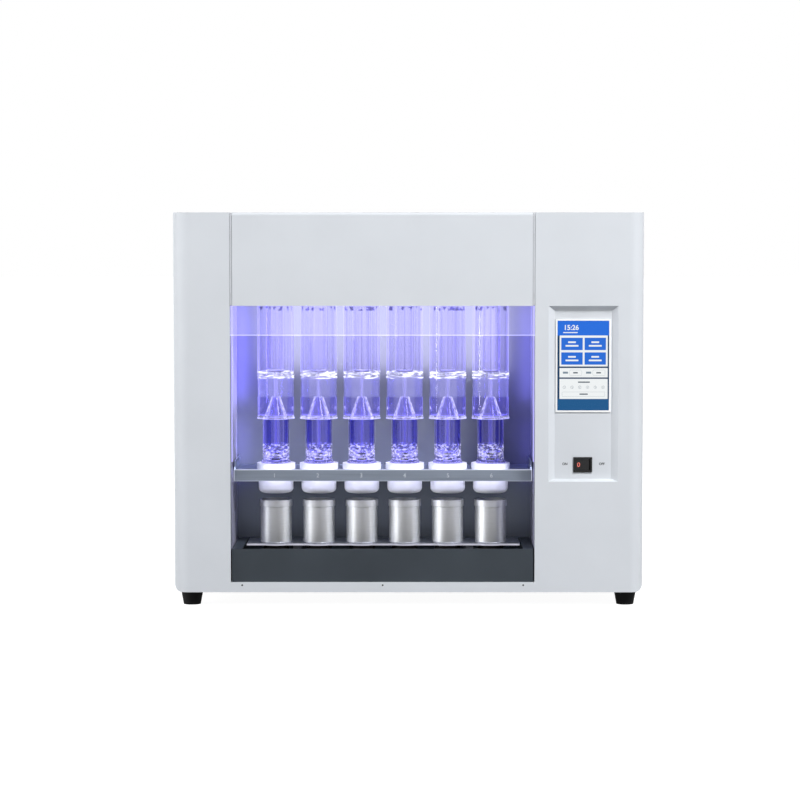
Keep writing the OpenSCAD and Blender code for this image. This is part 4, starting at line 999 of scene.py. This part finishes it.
# Lamps along the shelf's front edge, over the seats and under the sheet, and one behind the cups
SEAT_POWER = 0.055
BAY_POWER = 0.17
BAY_WALL_POWER = 0.04
SHELF_LAMP_H = 0.012
BAY_WALL_LAMP_H = 0.08
aim_y = shelf_low.y + 70 * MM
bay_z = shelf_low.z - 50 * MM
area_light("seat_lamp", (chamber_middle, shelf_low.y + 9 * MM, shelf_high.z - 12 * MM),
           (chamber_middle, aim_y, shelf_low.z - 60 * MM),
           (chamber_width, SHELF_LAMP_H), SEAT_POWER, SEAT_LIGHT)
area_light("bay_lamp", (chamber_middle, shelf_low.y + 6 * MM, shelf_low.z + 13 * MM),
           (chamber_middle, aim_y, shelf_low.z - 20 * MM),
           (chamber_width, SHELF_LAMP_H), BAY_POWER, BAY_LIGHT)
area_light("bay_wall_lamp", (chamber_middle, rear_y, bay_z), (chamber_middle, wall_front, bay_z),
           (chamber_width, BAY_WALL_LAMP_H), BAY_WALL_POWER, BAY_WALL_LIGHT)

# Slim lamps between the cups draw a soft upright band on each side of them.
# The key light is kept off the cups
CUP_POWER = 0.0070
CUP_LAMP_W = 0.018
CUP_LAMP_AHEAD = 31 * MM
CUP_LAMP_AIM = Vector((0.25, 1, 0))
for i in range(STATIONS + 1):
    place = STATION_FIRST + Vector(((i - 0.5) * STATION_PITCH, -CUP_LAMP_AHEAD, 0))
    area_light("cup_lamp_%d" % (i + 1), place, place + CUP_LAMP_AIM, (CUP_LAMP_W, cup_high.z - cup_low.z),
               CUP_POWER, CUP_LIGHT)
kept_off = bpy.data.collections.new("kept_off_by_key")
for name in CUPS:
    kept_off.objects.link(nodes[name])
for member in kept_off.collection_objects:
    member.light_linking.link_state = "EXCLUDE"
key.light_linking.receiver_collection = kept_off

# Camera, from the photo's perspective
PHOTO_SIDE = 800
FOCAL_PIXELS = 2661.5
PRINCIPAL = (416.0, 405.0)
SENSOR = 36.0
CAMERA_PLACE = (0.0126, -4.67, 0.6356)
CAMERA_DOWN = 3.8
camera_data = bpy.data.cameras.new("camera")
camera_data.sensor_width = SENSOR
camera_data.lens = FOCAL_PIXELS / PHOTO_SIDE * SENSOR
camera_data.shift_x = (PHOTO_SIDE / 2 - PRINCIPAL[0]) / PHOTO_SIDE
camera_data.shift_y = (PRINCIPAL[1] - PHOTO_SIDE / 2) / PHOTO_SIDE
camera = bpy.data.objects.new("camera", camera_data)
scene.collection.objects.link(camera)
camera.location = CAMERA_PLACE
camera.rotation_euler = (math.radians(90 - CAMERA_DOWN), 0, 0)
scene.camera = camera
scene.view_settings.view_transform = "Standard"
scene.cycles.transparent_max_bounces = 24
scene.cycles.max_bounces = 20
scene.cycles.transmission_bounces = 20
